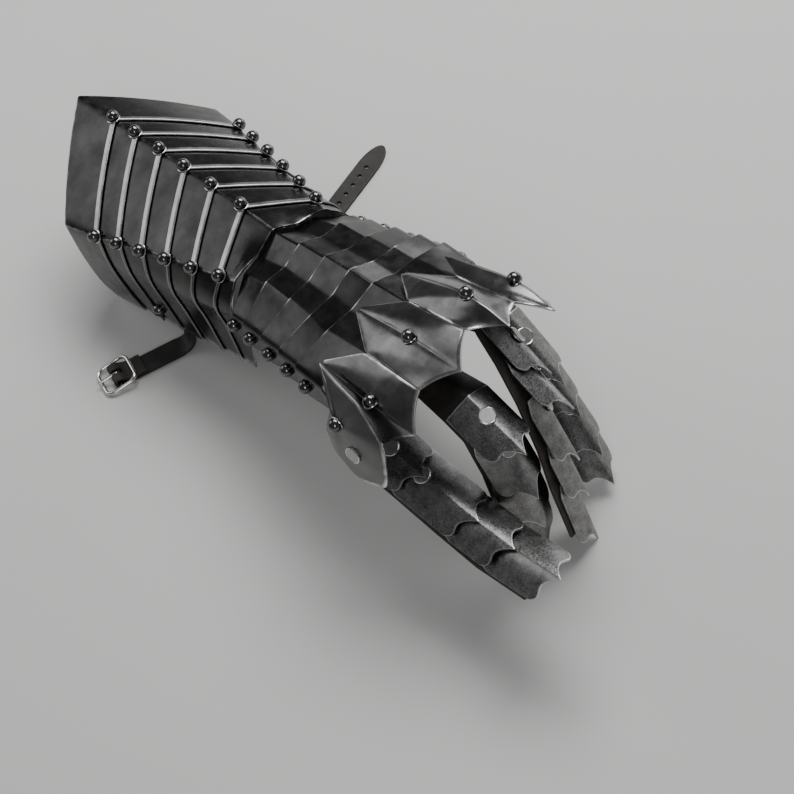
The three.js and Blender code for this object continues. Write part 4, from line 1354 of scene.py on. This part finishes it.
def block(x, y, z):
    """Box cutter beside the buckle's bar, given its ranges along, across and up."""
    mesh = bpy.data.meshes.new("block")
    corners = [at_bar(a, b, c) * MM for a in x for b in y for c in z]
    faces = [(0, 1, 3, 2), (4, 6, 7, 5), (0, 4, 5, 1), (2, 3, 7, 6), (0, 2, 6, 4), (1, 5, 7, 3)]
    mesh.from_pydata(corners, [], faces)
    work = bmesh.new()
    work.from_mesh(mesh)
    bmesh.ops.recalc_face_normals(work, faces=work.faces)
    work.to_mesh(mesh)
    work.free()
    return link(mesh, "block")


def strap_piece(name, node, rows):
    piece = plate(name, rows, BLACK_LEATHER, rim_marks(rows, STRAP_RIM), STRAP_THICK, STRAP_EDGE, ROW_MM)
    handed_over(piece, "cuff", node)
    return piece


def buckle_strap():
    """Along the surface, round the bar, and back over itself, with a slot for the prong."""
    rows, foot, outward = strap_leg()
    top = STRAP_THICK + FLOOR_AIR
    folded = top + FOLD_AIR
    places = [(-STRAP_RUN * (1 - k / FLAT_ROWS), top) for k in range(1, FLAT_ROWS)]
    for k in range(-FOLD_ROWS, FOLD_ROWS + 1):
        turn = k / FOLD_ROWS * math.pi / 2
        places.append((FOLD_R * math.cos(turn), BAR_HEIGHT + FOLD_R * math.sin(turn)))
    places += [(ahead, mix(folded, BAR_HEIGHT + FOLD_R, share)) for ahead, share in FOLD_FALL]
    places += [(ahead, folded) for ahead in (FOLD_DIP, mix(FOLD_DIP, FOLD_END, 0.5), FOLD_END)]
    rows += [strap_row(on_floor(ahead, height), ACROSS) for ahead, height in places]
    piece = strap_piece("buckle_strap_leather", "buckle_strap", rows)
    cut(piece, [post(foot, outward, STRAP_HOLE_R), block(SLOT["along"], SLOT["across"], SLOT["up"])])


def across_wrist(point):
    """The same place on the little-finger side, in row-frame mm."""
    middle = WEARER.translation.y / MM
    return Vector((point.x, 2 * middle - point.y, point.z))


def tongue_strap():
    """The buckle strap's mirror image as far as the surface, then a pointed tongue with holes."""
    rows, foot, outward = strap_leg()
    top = STRAP_THICK + FLOOR_AIR
    for k in range(1, TONGUE_ROWS + 1):
        rows.append(strap_row(on_floor(TAPER_FROM * k / TONGUE_ROWS - STRAP_RUN, top), ACROSS))
    for k in range(1, TAPER_ROWS + 1):
        turn = k / TAPER_ROWS * TAPER_TURN
        ahead = TAPER_FROM + (TONGUE_RUN - TAPER_FROM) * math.sin(turn) - STRAP_RUN
        rows.append(strap_row(on_floor(ahead, top), ACROSS, STRAP_HALF * math.cos(turn)))
    flipped = [[across_wrist(point) for point in reversed(row)] for row in rows]
    piece = strap_piece("tongue_strap_leather", "tongue_strap", flipped)
    cutters = [post(across_wrist(foot), mirrored(outward), STRAP_HOLE_R)]
    for i in range(HOLES):
        hole = on_floor(TONGUE_RUN - STRAP_RUN - FIRST_HOLE - i * HOLE_PITCH, top)
        cutters.append(post(across_wrist(hole), Vector((0, 0, 1)), HOLE_R))
    cut(piece, cutters)


def on_buckle(ahead, aside):
    """A point of the tilted buckle, in row-frame metres."""
    return at_bar(ahead * math.cos(BUCKLE_TILT), aside, -ahead * math.sin(BUCKLE_TILT)) * MM


def buckle():
    """Round wire bent into a soft square, with a middle bar, lying tilted on the strap."""
    long = (BUCKLE_LONG - BUCKLE_WIRE) / 2
    wide = (BUCKLE_WIDE - BUCKLE_WIRE) / 2
    ring = []
    for k, (sx, sy) in enumerate(((1, 1), (-1, 1), (-1, -1), (1, -1))):
        for i in range(CORNER_STEPS + 1):
            turn = (k + i / CORNER_STEPS) * math.pi / 2
            ring.append(on_buckle(sx * (long - BUCKLE_CORNER) + BUCKLE_CORNER * math.cos(turn),
                                  sy * (wide - BUCKLE_CORNER) + BUCKLE_CORNER * math.sin(turn)))
    wire = tube("buckle_ring", ring, BUCKLE_WIRE / 2 * MM, NICKEL, closed=True)
    bar = tube("bar", [on_buckle(0, -wide), on_buckle(0, wide)], BAR_R * MM, NICKEL)
    piece = joined("buckle_wire", [wire, bar])
    handed_over(piece, "cuff", "buckle_frame")


def prong():
    """A wire bent round the bar, its arm lying on the frame's far side."""
    loop = PRONG_LOOP
    points = []
    for k in range(loop["count"]):
        turn = math.radians(loop["from"] + loop["step"] * k)
        points.append(at_bar(loop["radius"] * math.cos(turn), 0, loop["radius"] * math.sin(turn)) * MM)
    points += [at_bar(ahead, 0, up) * MM for ahead, up, _ in PRONG_ARM]
    radii = [loop["wire"] * MM] * loop["count"] + [radius * MM for _, _, radius in PRONG_ARM]
    piece = tube("prong_wire", points, radii, NICKEL)
    handed_over(piece, "buckle_prong", "buckle_prong")


# ---- stage ----------------------------------------------------------------------------------------------

CAMERA_AZIMUTH = -29.22
CAMERA_ELEVATION = 50.87
CAMERA_ROLL = 16.78
CAMERA_DISTANCE = 1.404
CAMERA_AIM = Vector((0.0315, -0.0092, 0))
LENS = 100
FLOOR_HALF = 10
FLOOR_COLOUR = (0.62, 0.62, 0.61, 1)
AIR_COLOUR = (0.34, 0.34, 0.35, 1)
AIR_STRENGTH = 0.45


def build_camera():
    data = bpy.data.cameras.new("camera")
    data.lens = LENS
    camera = bpy.data.objects.new("camera", data)
    bpy.context.scene.collection.objects.link(camera)
    azimuth = math.radians(CAMERA_AZIMUTH)
    elevation = math.radians(CAMERA_ELEVATION)
    away = Vector((math.cos(azimuth) * math.cos(elevation), math.sin(azimuth) * math.cos(elevation),
                   math.sin(elevation)))
    camera.location = CAMERA_AIM + away * CAMERA_DISTANCE
    turn = away.to_track_quat("Z", "Y").to_matrix()
    roll = Matrix.Rotation(-math.radians(CAMERA_ROLL), 3, "Z")
    camera.rotation_euler = (turn @ roll).to_euler()
    bpy.context.scene.camera = camera


def softbox(name, place, aim, size, power):
    """A plain rectangular lamp of `size` metres, `power` watts, turned to its aim."""
    data = bpy.data.lights.new(name, "AREA")
    data.shape = "RECTANGLE"
    data.size = size[0]
    data.size_y = size[1]
    data.energy = power
    light = bpy.data.objects.new(name, data)
    light.location = place
    light.rotation_euler = (Vector(place) - Vector(aim)).to_track_quat("Z", "Y").to_euler()
    bpy.context.scene.collection.objects.link(light)


def build_stage():
    mesh = bpy.data.meshes.new("floor")
    half = FLOOR_HALF
    corners = [(-half, -half, 0), (half, -half, 0), (half, half, 0), (-half, half, 0)]
    mesh.from_pydata(corners, [], [(0, 1, 2, 3)])
    finish = Finish("pale floor", Roughness=0.85, Specular_IOR_Level=0.2)
    finish.surface.inputs["Base Color"].default_value = FLOOR_COLOUR
    mesh.materials.append(finish.material)
    link(mesh, "floor")
    world = bpy.data.worlds.new("studio")
    bpy.context.scene.world = world
    world.use_nodes = True
    background = world.node_tree.nodes["Background"]
    background.inputs["Color"].default_value = AIR_COLOUR
    background.inputs["Strength"].default_value = AIR_STRENGTH
    softbox("overhead", (-0.35, 0.75, 1.5), (0, 0, 0.05), (1.3, 0.9), 30)
    softbox("back", (-0.4, 1.5, 0.4), (-0.05, 0, 0.08), (1.5, 0.45), 7)
    softbox("left", (-1.3, -0.6, 0.9), (-0.05, 0, 0.08), (0.8, 0.9), 4)
    softbox("right", (1.2, -0.9, 1.2), (0.1, 0, 0.08), (0.5, 0.9), 5.5)


build_cuff()
build_hand()
buckle_strap()
tongue_strap()
buckle()
prong()
build_camera()
build_stage()
